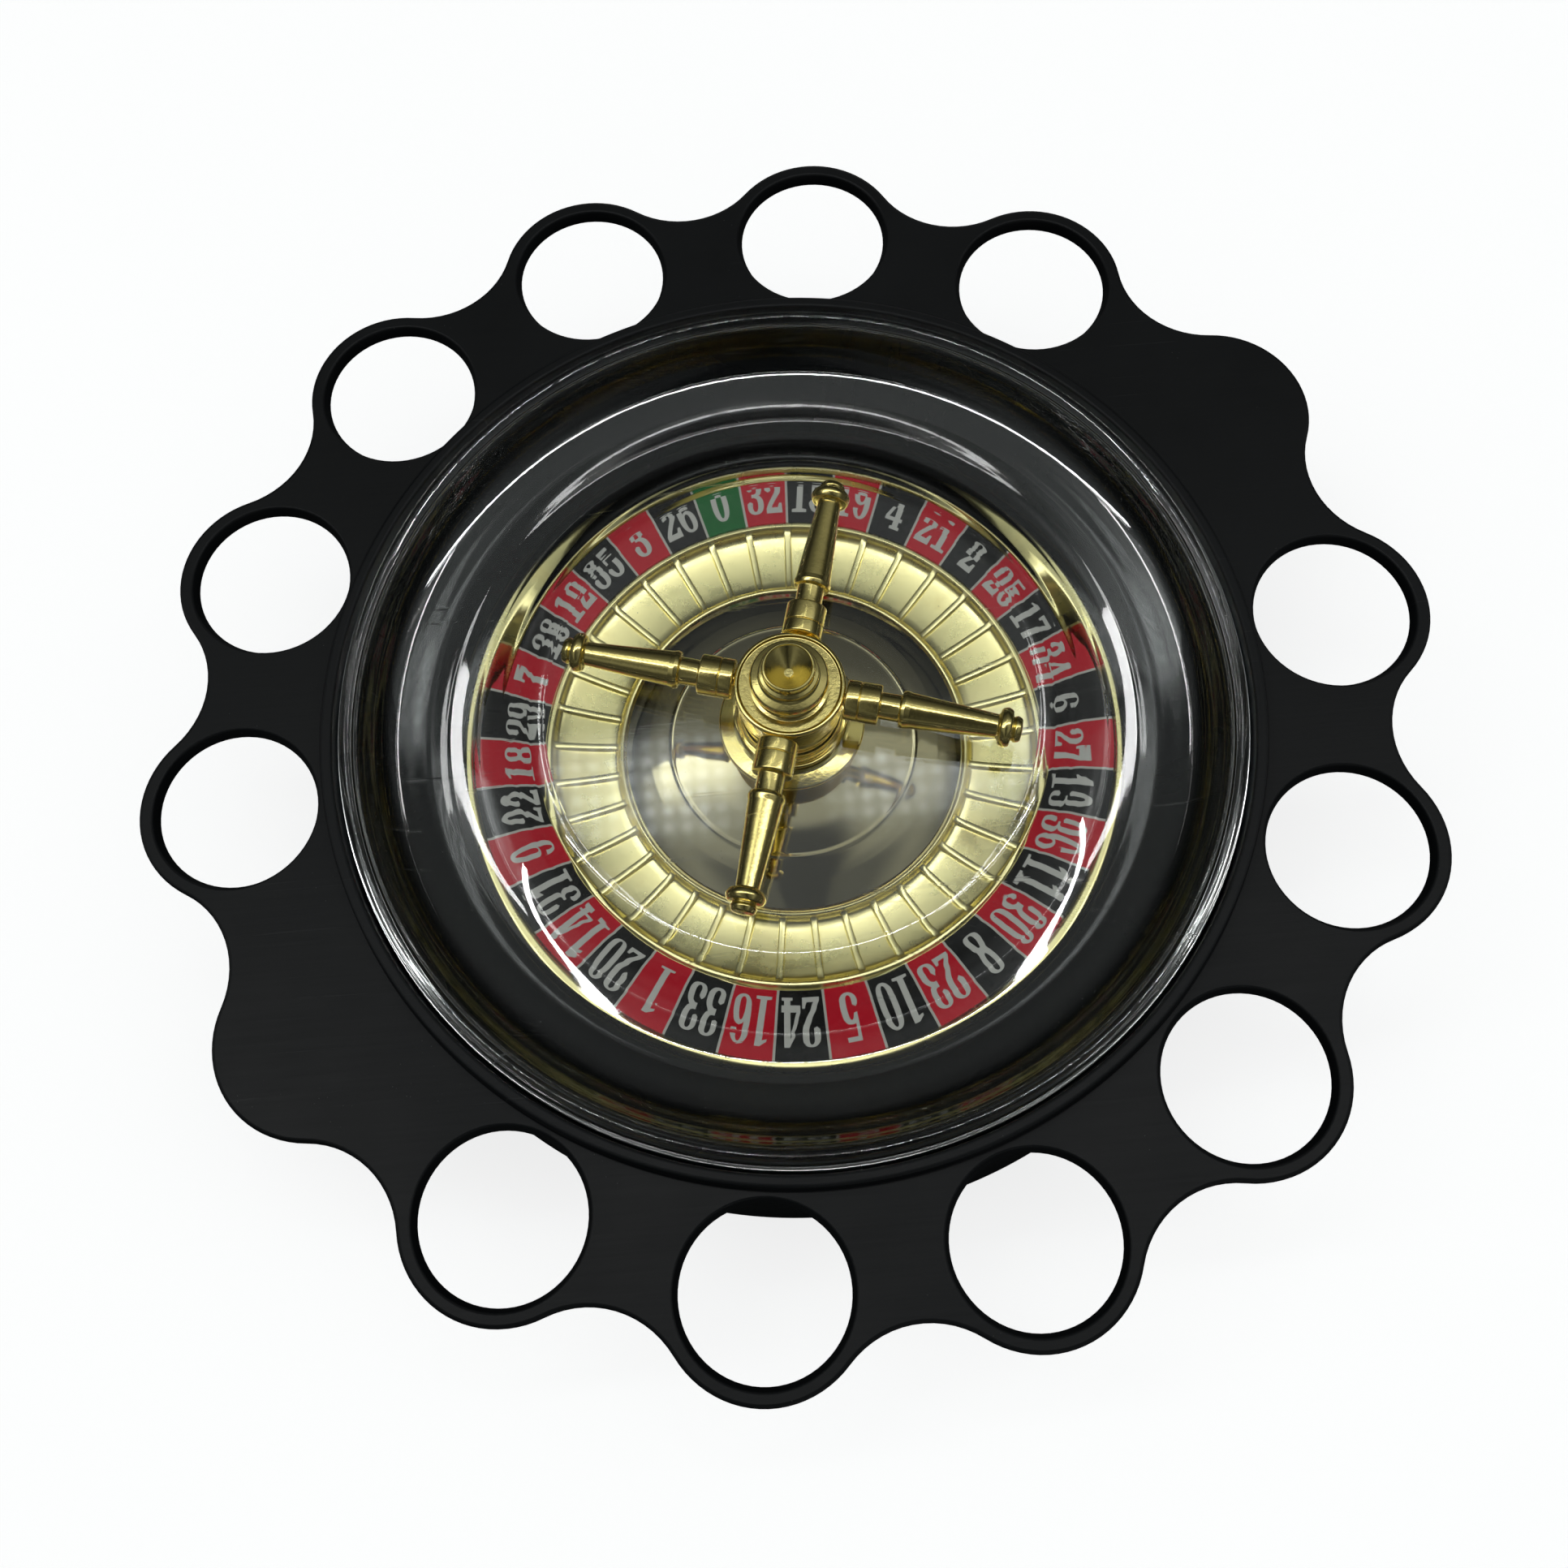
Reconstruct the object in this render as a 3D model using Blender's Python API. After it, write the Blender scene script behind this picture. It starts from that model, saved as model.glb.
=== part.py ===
"""Party roulette wheel: a scalloped tray with glass holes round a covered roulette bowl.

Metres, +Z up. The origin is on the wheel's axis at the table. Profiles are written in millimetres
as (radius, height) pairs, and their heights count from the tray's top deck.
"""

import math

import bmesh
import bpy
from mathutils import Matrix, Vector

MM = 0.001
DECK = 44.0                     # height of the tray's deck above the table

# Round-off of the circles
SEG_LARGE = 48                  # tray, bowl, cover and base plate
SEG_WHEEL = 74                  # two steps to each pocket
SEG_TURRET = 20
SEG_ARM = 10
SEG_SMALL = 16

# Tray
LOBES = 14
LOBE_PITCH = 2.0 * math.pi / LOBES
LOBE_PHASE = math.radians(82.787)
PLAIN_LOBES = (2, 9)            # lobes with no hole, opposite each other
HOLE_CIRCLE = 120.0
LOBE_RADIUS = 20.7
VALLEY_RADIUS = 19.9
DECK_THICK = 2.8
EDGE_ROUND = 0.6
HOLE_TOP = 17.6
HOLE_BOTTOM = 16.8
HOLE_CHAMFER = 0.4
LOBE_STEPS = 7
VALLEY_STEPS = 4

# Base
PLATE_TOP = -38.7
PLATE_BOTTOM = -40.9
FASTENER_CIRCLE = 86.0
SCREW_HOLE = 1.9
FOOT_PEG_HOLE = 2.6
BOSS_RADIUS = 3.6
PILOT_RADIUS = 1.7
PILOT_TOP = -26.0

# Wheel
POCKETS = 37
POCKET_PITCH = 2.0 * math.pi / POCKETS
ZERO_ANGLE = math.radians(101.3)        # middle of the zero cell
FRET_ANGLE = ZERO_ANGLE + POCKET_PITCH / 2.0
FRET_BASE = 0.75                # half widths of a fret
FRET_CREST = 0.42
RING_INNER = 57.35
RING_OUTER = 70.45
RING_LOW = -26.15               # height of the number ring's inner edge
RING_SLOPE = 0.306
RING_THICK = 0.5

# Turret
ARM_HEIGHT = 10.3
ARM_PHASE = math.radians(74.0)
SOCKET_RADIUS = 1.6
SOCKET_FLOOR = 6.6
HUB_RADIUS = 11.3
STUD_BORE = 2.3

SHARP_ANGLE = math.radians(32.0)


def clear_scene():
    for obj in list(bpy.data.objects):
        bpy.data.objects.remove(obj, do_unlink=True)


def material(name, colour, roughness, metallic=0.0, transmission=0.0):
    mat = bpy.data.materials.new(name)
    mat.use_nodes = True
    shader = mat.node_tree.nodes["Principled BSDF"]
    shader.inputs["Base Color"].default_value = (*colour, 1.0)
    shader.inputs["Roughness"].default_value = roughness
    shader.inputs["Metallic"].default_value = metallic
    shader.inputs["Transmission Weight"].default_value = transmission
    return mat


def finish_object(name, bm, mat):
    """Turns a mesh in millimetres, measured from the deck, into a named object in metres."""
    bmesh.ops.transform(bm, matrix=Matrix.Translation((0.0, 0.0, DECK)), verts=bm.verts)
    bmesh.ops.scale(bm, vec=(MM, MM, MM), verts=bm.verts)
    bmesh.ops.recalc_face_normals(bm, faces=bm.faces)
    for face in bm.faces:
        face.smooth = True
    for edge in bm.edges:
        edge.smooth = edge.calc_face_angle(0.0) < SHARP_ANGLE
    mesh = bpy.data.meshes.new(name)
    bm.to_mesh(mesh)
    bm.free()
    mesh.materials.append(mat)
    obj = bpy.data.objects.new(name, mesh)
    bpy.context.scene.collection.objects.link(obj)
    return obj


def circle(bm, radius, height, segments, start=0.0, centre=(0.0, 0.0)):
    """One ring of vertices, or a single vertex when the radius is zero."""
    if radius == 0.0:
        return [bm.verts.new((centre[0], centre[1], height))]
    loop = []
    for k in range(segments):
        angle = start + 2.0 * math.pi * k / segments
        x = centre[0] + radius * math.cos(angle)
        y = centre[1] + radius * math.sin(angle)
        loop.append(bm.verts.new((x, y, height)))
    return loop


def bridge(bm, first, second):
    """Faces between two loops; one loop may have a multiple of the other's vertices."""
    if len(first) < len(second):
        first, second = second, first
    count = len(first)
    if len(second) == 1:
        for k in range(count):
            bm.faces.new((first[k], first[(k + 1) % count], second[0]))
        return
    ratio = count // len(second)
    for k in range(len(second)):
        fine = [first[(k * ratio + j) % count] for j in range(ratio + 1)]
        bm.faces.new((*fine, second[(k + 1) % len(second)], second[k]))


def chain(bm, loops, closed=False):
    for first, second in zip(loops, loops[1:]):
        bridge(bm, first, second)
    if closed:
        bridge(bm, loops[-1], loops[0])


def fill(bm, loops):
    """A flat face between an outer loop and any number of hole loops."""
    edges = []
    for loop in loops:
        for k, vert in enumerate(loop):
            nxt = loop[(k + 1) % len(loop)]
            edges.append(bm.edges.get((vert, nxt)) or bm.edges.new((vert, nxt)))
    bmesh.ops.triangle_fill(bm, use_beauty=True, edges=edges, normal=(0.0, 0.0, 1.0))


def revolve(bm, profile, segments, start=0.0, centre=(0.0, 0.0)):
    """Turns (radius, height) pairs; a third value divides the number of steps round."""
    loops = [circle(bm, r, z, segments // (coarse[0] if coarse else 1), start, centre)
             for r, z, *coarse in profile]
    chain(bm, loops, closed=all(point[0] > 0.0 for point in profile))
    return loops


def turned(name, profile, segments, mat, start=0.0, centre=(0.0, 0.0)):
    bm = bmesh.new()
    revolve(bm, profile, segments, start, centre)
    return finish_object(name, bm, mat)


def polar(radius, angle):
    return radius * math.cos(angle), radius * math.sin(angle)


def bake_boolean(target, cutter, operation):
    """Applies an exact boolean and drops its operand."""
    cutter.hide_render = True
    cutter.display_type = "WIRE"
    modifier = target.modifiers.new(operation.lower(), "BOOLEAN")
    modifier.operation = operation
    modifier.solver = "EXACT"
    modifier.object = cutter
    graph = bpy.context.evaluated_depsgraph_get()
    mesh = bpy.data.meshes.new_from_object(target.evaluated_get(graph))
    target.modifiers.clear()
    target.data = mesh
    bpy.data.objects.remove(cutter, do_unlink=True)
    bm = bmesh.new()
    bm.from_mesh(mesh)
    bmesh.ops.dissolve_degenerate(bm, dist=1e-6, edges=bm.edges)
    for edge in bm.edges:
        edge.smooth = edge.calc_face_angle(0.0) < SHARP_ANGLE
    bm.to_mesh(mesh)
    bm.free()


# --- tray -----------------------------------------------------------------

def lobe_angle(index):
    return LOBE_PHASE - index * LOBE_PITCH


def outline(bm, inset, height):
    """The scalloped edge: convex lobes joined by concave valleys, tangent to each other."""
    half = LOBE_PITCH / 2.0
    reach = LOBE_RADIUS + VALLEY_RADIUS
    # centre of the valley arc, on the line half way between two lobes
    offset = math.sqrt(reach ** 2 - (HOLE_CIRCLE * math.sin(half)) ** 2)
    valley_centre = HOLE_CIRCLE * math.cos(half) + offset
    lean = math.atan2(valley_centre * math.sin(half), valley_centre * math.cos(half) - HOLE_CIRCLE)
    valley_half = math.pi - lean + half - math.pi / 2.0
    loop = []
    for index in range(LOBES):
        middle = LOBE_PHASE + index * LOBE_PITCH
        centre = Vector(polar(HOLE_CIRCLE, middle))
        for k in range(LOBE_STEPS + 1):
            angle = middle - lean + 2.0 * lean * k / LOBE_STEPS
            point = centre + Vector(polar(LOBE_RADIUS - inset, angle))
            loop.append(bm.verts.new((point.x, point.y, height)))
        centre = Vector(polar(valley_centre, middle + half))
        sweep = math.pi / 2.0 - valley_half
        for k in range(1, VALLEY_STEPS):
            angle = middle + half + math.pi - sweep + 2.0 * sweep * k / VALLEY_STEPS
            angle = 2.0 * (middle + half + math.pi) - angle
            point = centre + Vector(polar(VALLEY_RADIUS + inset, angle))
            loop.append(bm.verts.new((point.x, point.y, height)))
    return loop


def build_tray(mat):
    bm = bmesh.new()
    edge_loops = [
        outline(bm, EDGE_ROUND, 0.0),
        outline(bm, 0.0, -EDGE_ROUND),
        outline(bm, 0.0, EDGE_ROUND - DECK_THICK),
        outline(bm, EDGE_ROUND / 2.0, -DECK_THICK),
    ]
    chain(bm, edge_loops)
    hole_loops = []
    for index in range(LOBES):
        if index in PLAIN_LOBES:
            continue
        angle = lobe_angle(index)
        centre = polar(HOLE_CIRCLE, angle)
        loops = [
            circle(bm, HOLE_TOP + HOLE_CHAMFER, 0.0, SEG_SMALL, angle, centre),
            circle(bm, HOLE_TOP, -HOLE_CHAMFER, SEG_SMALL, angle, centre),
            circle(bm, HOLE_BOTTOM, -DECK_THICK, SEG_SMALL, angle, centre),
        ]
        chain(bm, loops)
        hole_loops.append(loops)
    # collar, bowl seat, skirt down to the base plate
    profile = [
        (101.3, 0.0), (100.7, 0.5), (100.6, 3.0), (99.9, 3.7), (98.6, 3.7), (98.0, 3.1),
        (98.0, -4.0), (95.3, -4.0), (95.3, -6.6), (99.0, -6.6), (100.4, -35.6),
        (101.3, -35.6), (101.5, -41.0), (103.9, -41.0), (101.7, -DECK_THICK),
    ]
    drum = [circle(bm, r, z, SEG_LARGE) for r, z in profile]
    chain(bm, drum)
    fill(bm, [edge_loops[0], drum[0]] + [loops[0] for loops in hole_loops])
    fill(bm, [edge_loops[-1], drum[-1]] + [loops[-1] for loops in hole_loops])
    return finish_object("glass_tray", bm, mat)


# --- bowl and base --------------------------------------------------------

def fastener_spots(phase):
    return [polar(FASTENER_CIRCLE, phase + k * math.pi / 2.0) for k in range(4)]


def build_bowl(mat):
    slope_top, slope_foot = (95.0, -0.8), (75.6, -17.2)
    profile = [
        (97.6, -0.6), (97.3, -0.3), (95.7, -0.3), slope_top, (88.2, -6.9), (81.6, -12.6), slope_foot,
        (74.9, -17.9), (74.6, -18.8), (74.6, -30.6), (73.6, -31.6), (3.05, -31.6, 3),
        (3.05, -34.0, 3), (76.0, -34.0), (77.0, -33.0), (77.0, -19.2), (94.9, -3.7),
        (97.6, -3.7),
    ]
    bowl = turned("bowl", profile, SEG_LARGE, mat)
    wall_slope = (slope_top[1] - slope_foot[1]) / (slope_top[0] - slope_foot[0])
    wall_middle = -1.0          # half of the wall's thickness, below the inner slope
    bm = bmesh.new()
    for spot in fastener_spots(math.pi / 4.0):
        bottom = PLATE_TOP + 0.3
        loops = revolve(
            bm,
            [(0.0, PILOT_TOP), (PILOT_RADIUS, PILOT_TOP), (PILOT_RADIUS, bottom),
             (BOSS_RADIUS, bottom), (BOSS_RADIUS, -12.0), (0.0, -12.0)],
            SEG_SMALL, 0.0, spot,
        )
        for vert in loops[-2] + loops[-1]:
            radius = math.hypot(vert.co.x, vert.co.y)
            vert.co.z = slope_foot[1] + (radius - slope_foot[0]) * wall_slope + wall_middle
    bosses = finish_object("bowl_bosses", bm, mat)
    bake_boolean(bowl, bosses, "UNION")
    return bowl


def build_base_plate(mat):
    bm = bmesh.new()
    profile = [
        (99.4, PLATE_TOP), (99.2, -35.9), (100.9, -35.9), (101.1, PLATE_BOTTOM + 0.6),
        (100.5, PLATE_BOTTOM),
    ]
    rim = [circle(bm, r, z, SEG_LARGE) for r, z in profile]
    chain(bm, rim)
    tops, bottoms = [rim[0]], [rim[-1]]
    for phase, radius in ((math.pi / 4.0, SCREW_HOLE), (0.0, FOOT_PEG_HOLE)):
        for spot in fastener_spots(phase):
            top = circle(bm, radius, PLATE_TOP, SEG_SMALL, 0.0, spot)
            bottom = circle(bm, radius, PLATE_BOTTOM, SEG_SMALL, 0.0, spot)
            bridge(bm, top, bottom)
            tops.append(top)
            bottoms.append(bottom)
    fill(bm, tops)
    fill(bm, bottoms)
    return finish_object("base_plate", bm, mat)


def build_fasteners(steel, rubber):
    screw = [
        (0.0, -42.5), (1.6, -42.6), (2.8, -42.3), (3.2, -41.6), (3.2, -41.1),
        (1.5, -41.1), (1.5, -28.4), (0.0, -27.2),
    ]
    for k, spot in enumerate(fastener_spots(math.pi / 4.0)):
        turned(f"base_screw_{k + 1}", screw, SEG_ARM, steel, 0.0, spot)
    foot = [
        (0.0, -44.0), (6.2, -44.0), (7.0, -43.4), (7.0, -41.6), (6.6, -41.2), (2.3, -41.2),
        (2.3, -39.0), (0.0, -39.0),
    ]
    for k, spot in enumerate(fastener_spots(0.0)):
        turned(f"rubber_foot_{k + 1}", foot, SEG_SMALL, rubber, 0.0, spot)


def build_cover(mat):
    top = [
        (12.2, 1.7, 2), (51.5, 1.7), (54.0, 1.1), (57.0, -1.0), (60.5, -2.7), (66.0, -3.9),
        (75.0, -4.3), (81.0, -3.3), (87.5, 0.6), (91.0, 4.0), (94.0, 5.2), (96.4, 4.0),
        (97.0, 1.5), (97.0, 0.0),
    ]
    under = [
        (95.2, 0.0), (94.3, 2.5), (92.4, 2.2), (87.6, -2.0), (81.0, -5.9), (75.0, -6.9),
        (66.0, -6.5), (59.6, -5.0), (53.4, -1.5), (51.0, -0.9), (12.2, -0.9, 2),
    ]
    return turned("clear_cover", top + under, SEG_LARGE, mat)


# --- wheel ----------------------------------------------------------------

def build_rotor(mat):
    bm = bmesh.new()
    start = FRET_ANGLE
    outer = [
        (73.0, -23.8), (73.2, -22.0), (72.8, -21.1), (72.1, -20.8), (71.3, -20.9), (70.8, -21.5),
        (70.6, -22.8), (57.2, -26.9), (57.1, -25.8), (56.6, -25.3), (55.9, -25.3),
    ]
    inner = [
        (39.3, -25.8, 1), (38.9, -26.2, 1), (38.8, -28.7, 1), (9.0, -28.7, 2), (8.6, -20.1, 2),
        (6.0, -20.1, 2), (6.0, -10.0, 2), (2.05, -10.0, 2), (2.05, -16.6, 2), (4.25, -16.6, 2),
        (4.25, -29.6, 2), (8.4, -29.6, 2), (9.4, -30.2, 2), (54.6, -30.2, 1), (57.5, -29.0, 1),
        (71.6, -24.9, 1),
    ]
    # rows across the pockets: (floor radius, floor height, crest radius, crest height)
    rows = [
        (55.3, -25.7, 55.3, -25.7), (54.2, -28.2, 54.65, -27.1),
        (40.4, -27.5, 40.1, -26.8), (39.9, -26.2, 39.9, -26.2),
    ]
    loops = [circle(bm, r, z, SEG_WHEEL, start) for r, z in outer]
    for floor_r, floor_z, crest_r, crest_z in rows:
        loop = []
        for k in range(POCKETS):
            fret = start + k * POCKET_PITCH
            stations = (
                (-FRET_BASE, floor_r, floor_z), (-FRET_CREST, crest_r, crest_z),
                (FRET_CREST, crest_r, crest_z), (FRET_BASE, floor_r, floor_z),
            )
            for offset, radius, height in stations:
                x, y = polar(radius, fret + offset / radius)
                loop.append(bm.verts.new((x, y, height)))
        loops.append(loop)
    loops += [circle(bm, r, z, SEG_WHEEL // coarse, start) for r, z, coarse in inner]
    first_fine = len(outer)
    last_fine = first_fine + len(rows) - 1
    for k in range(len(loops)):
        a, b = loops[k], loops[(k + 1) % len(loops)]
        if k + 1 == first_fine:
            join_pockets(bm, b, a)
        elif k == last_fine:
            join_pockets(bm, a, b)
        else:
            bridge(bm, a, b)
    return finish_object("rotor", bm, mat)


def join_pockets(bm, fine, coarse):
    """Joins a loop of four vertices to a fret with a loop of two to a pocket."""
    for k in range(POCKETS):
        left, right, base_in, base_out = (fine[4 * k + j] for j in range(4))
        next_left = fine[(4 * k + 4) % len(fine)]
        at_fret, mid_cell = coarse[2 * k], coarse[2 * k + 1]
        next_fret = coarse[(2 * k + 2) % len(coarse)]
        bm.faces.new((at_fret, left, right))
        bm.faces.new((at_fret, right, base_in))
        bm.faces.new((at_fret, base_in, base_out))
        bm.faces.new((at_fret, base_out, mid_cell))
        bm.faces.new((mid_cell, base_out, next_left))
        bm.faces.new((mid_cell, next_left, next_fret))


def build_number_ring(mat):
    high = RING_LOW + (RING_OUTER - RING_INNER) * RING_SLOPE
    profile = [
        (RING_INNER, RING_LOW), (RING_OUTER, high), (RING_OUTER, high - RING_THICK),
        (RING_INNER, RING_LOW - RING_THICK),
    ]
    return turned("number_ring", profile, SEG_WHEEL, mat, FRET_ANGLE)


def build_dome(mat):
    profile = [
        (6.3, -17.6, 2), (13.0, -18.1, 2), (20.0, -19.4), (24.0, -20.5), (27.3, -21.6),
        (27.9, -21.7), (31.0, -22.9), (34.5, -24.6), (38.2, -26.8), (38.4, -28.4),
        (37.2, -28.4, 2), (32.0, -25.4, 2), (22.0, -21.6, 2), (6.3, -19.3, 2),
    ]
    return turned("centre_dome", profile, SEG_WHEEL, mat, FRET_ANGLE)


# --- turret ---------------------------------------------------------------

def build_collar(mat):
    profile = [
        (6.3, -17.3), (9.5, -17.3), (10.0, -16.9), (10.4, -13.0), (12.0, -11.2), (15.4, -10.6),
        (16.0, -9.9), (15.8, -9.0), (15.2, -8.6), (12.6, -8.3), (12.0, -7.9), (11.9, -7.0),
        (11.3, -6.5), (STUD_BORE, -6.5), (STUD_BORE, -9.6), (6.3, -9.6),
    ]
    return turned("turret_collar", profile, SEG_TURRET, mat)


def build_barrel(mat):
    profile = [
        (STUD_BORE, -6.3), (10.8, -6.3), (11.2, -5.8), (11.2, -4.9), (10.4, -4.3), (10.3, -2.6),
        (10.9, -2.1), (10.9, -1.3), (10.3, -0.8), (10.3, 1.6), (10.9, 2.1), (10.9, 2.9),
        (10.4, 3.4), (10.4, 4.3), (11.0, 4.8), (11.0, 5.4), (STUD_BORE, 5.4),
    ]
    return turned("turret_barrel", profile, SEG_TURRET, mat)


def build_hub(mat):
    profile = [
        (STUD_BORE, 5.6), (HUB_RADIUS - 0.4, 5.6), (HUB_RADIUS, 6.0), (HUB_RADIUS, 12.2),
        (11.6, 12.5), (11.6, 13.3), (11.2, 13.6), (10.7, 13.5), (10.4, 13.2), (7.6, 13.3),
        (STUD_BORE, 13.3),
    ]
    hub = turned("turret_hub", profile, SEG_TURRET, mat)
    bm = bmesh.new()
    for k in range(4):
        part = bmesh.new()
        revolve(part, [(0.0, SOCKET_FLOOR), (SOCKET_RADIUS, SOCKET_FLOOR), (SOCKET_RADIUS, 14.0),
                       (0.0, 14.0)], SEG_ARM)
        aim_along_arm(part, k)
        bmesh.ops.recalc_face_normals(part, faces=part.faces)
        scratch = bpy.data.meshes.new("socket")
        part.to_mesh(scratch)
        part.free()
        bm.from_mesh(scratch)
        bpy.data.meshes.remove(scratch)
    sockets = finish_object("hub_sockets", bm, mat)
    bake_boolean(hub, sockets, "DIFFERENCE")
    return hub


def aim_along_arm(bm, index):
    """Lays a shape turned about Z along the direction of one arm."""
    turn = Matrix.Rotation(ARM_PHASE + index * math.pi / 2.0, 4, "Z")
    lay = Matrix.Rotation(math.pi / 2.0, 4, "Y")
    lift = Matrix.Translation((0.0, 0.0, ARM_HEIGHT))
    bmesh.ops.transform(bm, matrix=lift @ turn @ lay, verts=bm.verts)


def build_arms(mat):
    """Profile along the arm, from the tenon in the hub out to the tip bead."""
    profile = [
        (0.0, 7.0), (1.4, 7.0), (1.4, 11.9), (3.5, 11.9), (3.9, 12.3), (3.9, 14.5), (3.6, 14.8),
        (3.9, 15.1), (3.9, 18.6), (3.5, 19.1), (2.55, 19.3), (2.5, 23.3), (3.1, 23.6),
        (3.5, 24.1), (3.4, 25.0), (2.9, 32.0), (1.9, 43.6), (2.2, 44.1), (3.1, 44.4), (3.45, 45.2),
        (3.1, 46.1), (2.0, 46.6), (2.1, 47.4), (1.7, 48.4), (0.0, 48.9),
    ]
    for k in range(4):
        bm = bmesh.new()
        revolve(bm, profile, SEG_ARM)
        aim_along_arm(bm, k)
        finish_object(f"turret_arm_{k + 1}", bm, mat)


def build_knob(mat):
    profile = [
        (0.0, 19.6), (0.9, 19.6), (4.6, 22.6), (4.9, 23.0), (5.3, 22.9), (5.5, 22.3), (5.2, 21.4),
        (5.3, 20.9), (6.0, 20.5), (6.2, 19.9), (6.0, 19.2), (6.2, 18.4), (7.4, 18.0), (8.1, 17.4),
        (8.2, 16.6), (7.7, 15.9), (6.9, 15.4), (6.8, 14.4), (7.3, 13.6), (STUD_BORE, 13.6),
        (STUD_BORE, 17.8), (0.0, 17.8),
    ]
    return turned("turret_knob", profile, SEG_TURRET, mat)


def build_bearing(steel, brass, nylon):
    spindle = [
        (0.0, -38.2), (2.4, -38.2), (2.9, -37.7), (2.9, -31.5), (5.5, -31.5), (5.5, -30.7),
        (3.0, -30.7), (3.0, -18.0), (2.4, -17.4), (0.0, -17.4),
    ]
    turned("spindle", spindle, SEG_TURRET, steel)
    turned("thrust_washer", [(3.3, -30.6), (6.6, -30.6), (6.6, -29.8), (3.3, -29.8)],
           SEG_TURRET, nylon)
    turned("rotor_bushing", [(3.05, -29.5), (4.2, -29.5), (4.2, -18.2), (3.05, -18.2)],
           SEG_TURRET, brass)
    turned("spindle_washer", [(3.2, -34.8), (6.2, -34.8), (6.2, -34.2), (3.2, -34.2)],
           SEG_TURRET, steel)
    bm = bmesh.new()
    across_corners = 5.8
    hexes = [circle(bm, across_corners, z, 6) for z in (-37.9, -35.0)]
    bores = [circle(bm, 3.1, z, 24) for z in (-37.9, -35.0)]
    bridge(bm, *hexes)
    bridge(bm, *bores)
    fill(bm, [hexes[0], bores[0]])
    fill(bm, [hexes[1], bores[1]])
    finish_object("spindle_nut", bm, steel)
    stud = [(0.0, -16.0), (1.6, -16.0), (2.0, -15.5), (2.0, 16.8), (1.6, 17.3), (0.0, 17.3)]
    turned("turret_stud", stud, SEG_ARM, steel)


def main():
    clear_scene()
    satin_black = material("satin_black", (0.022, 0.023, 0.025), 0.45)
    gloss_black = material("gloss_black", (0.008, 0.010, 0.011), 0.08)
    clear = material("clear_plastic", (0.95, 0.97, 0.96), 0.03, 0.0, 1.0)
    black_rubber = material("black_rubber", (0.02, 0.02, 0.02), 0.8)
    steel = material("steel", (0.55, 0.55, 0.56), 0.3, 1.0)
    gold = material("gold_plate", (0.85, 0.68, 0.25), 0.15, 1.0)
    print_ink = material("number_print", (0.35, 0.02, 0.04), 0.3)
    mirror = material("champagne_mirror", (0.72, 0.70, 0.55), 0.06, 1.0)
    brass = material("brass", (0.72, 0.55, 0.25), 0.3, 1.0)
    nylon = material("nylon", (0.85, 0.84, 0.80), 0.5)

    build_tray(satin_black)
    build_bowl(gloss_black)
    build_base_plate(satin_black)
    build_fasteners(steel, black_rubber)
    build_cover(clear)
    build_rotor(gold)
    build_number_ring(print_ink)
    build_dome(mirror)
    build_collar(gold)
    build_barrel(gold)
    build_hub(gold)
    build_arms(gold)
    build_knob(gold)
    build_bearing(steel, brass, nylon)


main()
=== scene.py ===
"""Looks and lighting for the party roulette wheel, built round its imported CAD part.

Profiles are (radius, height) in millimetres, heights counted from the tray's deck.
"""

import math

import bmesh
import bpy
from mathutils import Matrix, Vector


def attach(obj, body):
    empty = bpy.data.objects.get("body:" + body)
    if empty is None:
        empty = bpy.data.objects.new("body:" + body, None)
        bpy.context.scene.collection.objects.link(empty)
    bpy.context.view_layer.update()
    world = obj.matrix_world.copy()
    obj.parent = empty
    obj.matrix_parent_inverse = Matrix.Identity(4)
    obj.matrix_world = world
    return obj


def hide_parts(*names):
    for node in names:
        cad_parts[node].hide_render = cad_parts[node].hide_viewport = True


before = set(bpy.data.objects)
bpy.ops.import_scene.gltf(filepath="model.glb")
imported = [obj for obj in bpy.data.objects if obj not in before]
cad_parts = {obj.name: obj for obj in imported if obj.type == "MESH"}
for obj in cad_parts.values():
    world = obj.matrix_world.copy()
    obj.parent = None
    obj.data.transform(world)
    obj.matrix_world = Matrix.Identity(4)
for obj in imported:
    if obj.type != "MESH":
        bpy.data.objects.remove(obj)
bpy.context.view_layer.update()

MM = 0.001
DECK = 44.0

LEVEL_NORMAL = 0.99999  # faces this level stay flat shaded

STEPS_LARGE = 280
STEPS_TURRET = 96
STEPS_ARM = 48
STEPS_SMALL = 64

LOBES = 14
LOBE_PITCH = 2.0 * math.pi / LOBES
LOBE_PHASE = math.radians(82.787)
PLAIN_LOBES = (2, 9)
HOLE_CIRCLE = 120.0
LOBE_RADIUS = 20.7
VALLEY_RADIUS = 19.9

POCKETS = 37
POCKET_PITCH = 2.0 * math.pi / POCKETS
ZERO_ANGLE = math.radians(101.3)
FRET_ANGLE = ZERO_ANGLE + POCKET_PITCH / 2.0
NUMBERS = (0, 32, 15, 19, 4, 21, 2, 25, 17, 34, 6, 27, 13, 36, 11, 30, 8, 23, 10, 5, 24, 16, 33,
           1, 20, 14, 31, 9, 22, 18, 29, 7, 28, 12, 35, 3, 26)
RING_INNER = 57.35
RING_OUTER = 70.45
RING_LOW = -26.15
RING_SLOPE = 0.306
RING_THICK = 0.5

ARM_HEIGHT = 10.3
ARM_PHASE = math.radians(74.0)
FASTENER_CIRCLE = 86.0


# --- mesh helpers ---------------------------------------------------------

def polar(radius, angle):
    return radius * math.cos(angle), radius * math.sin(angle)


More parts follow.
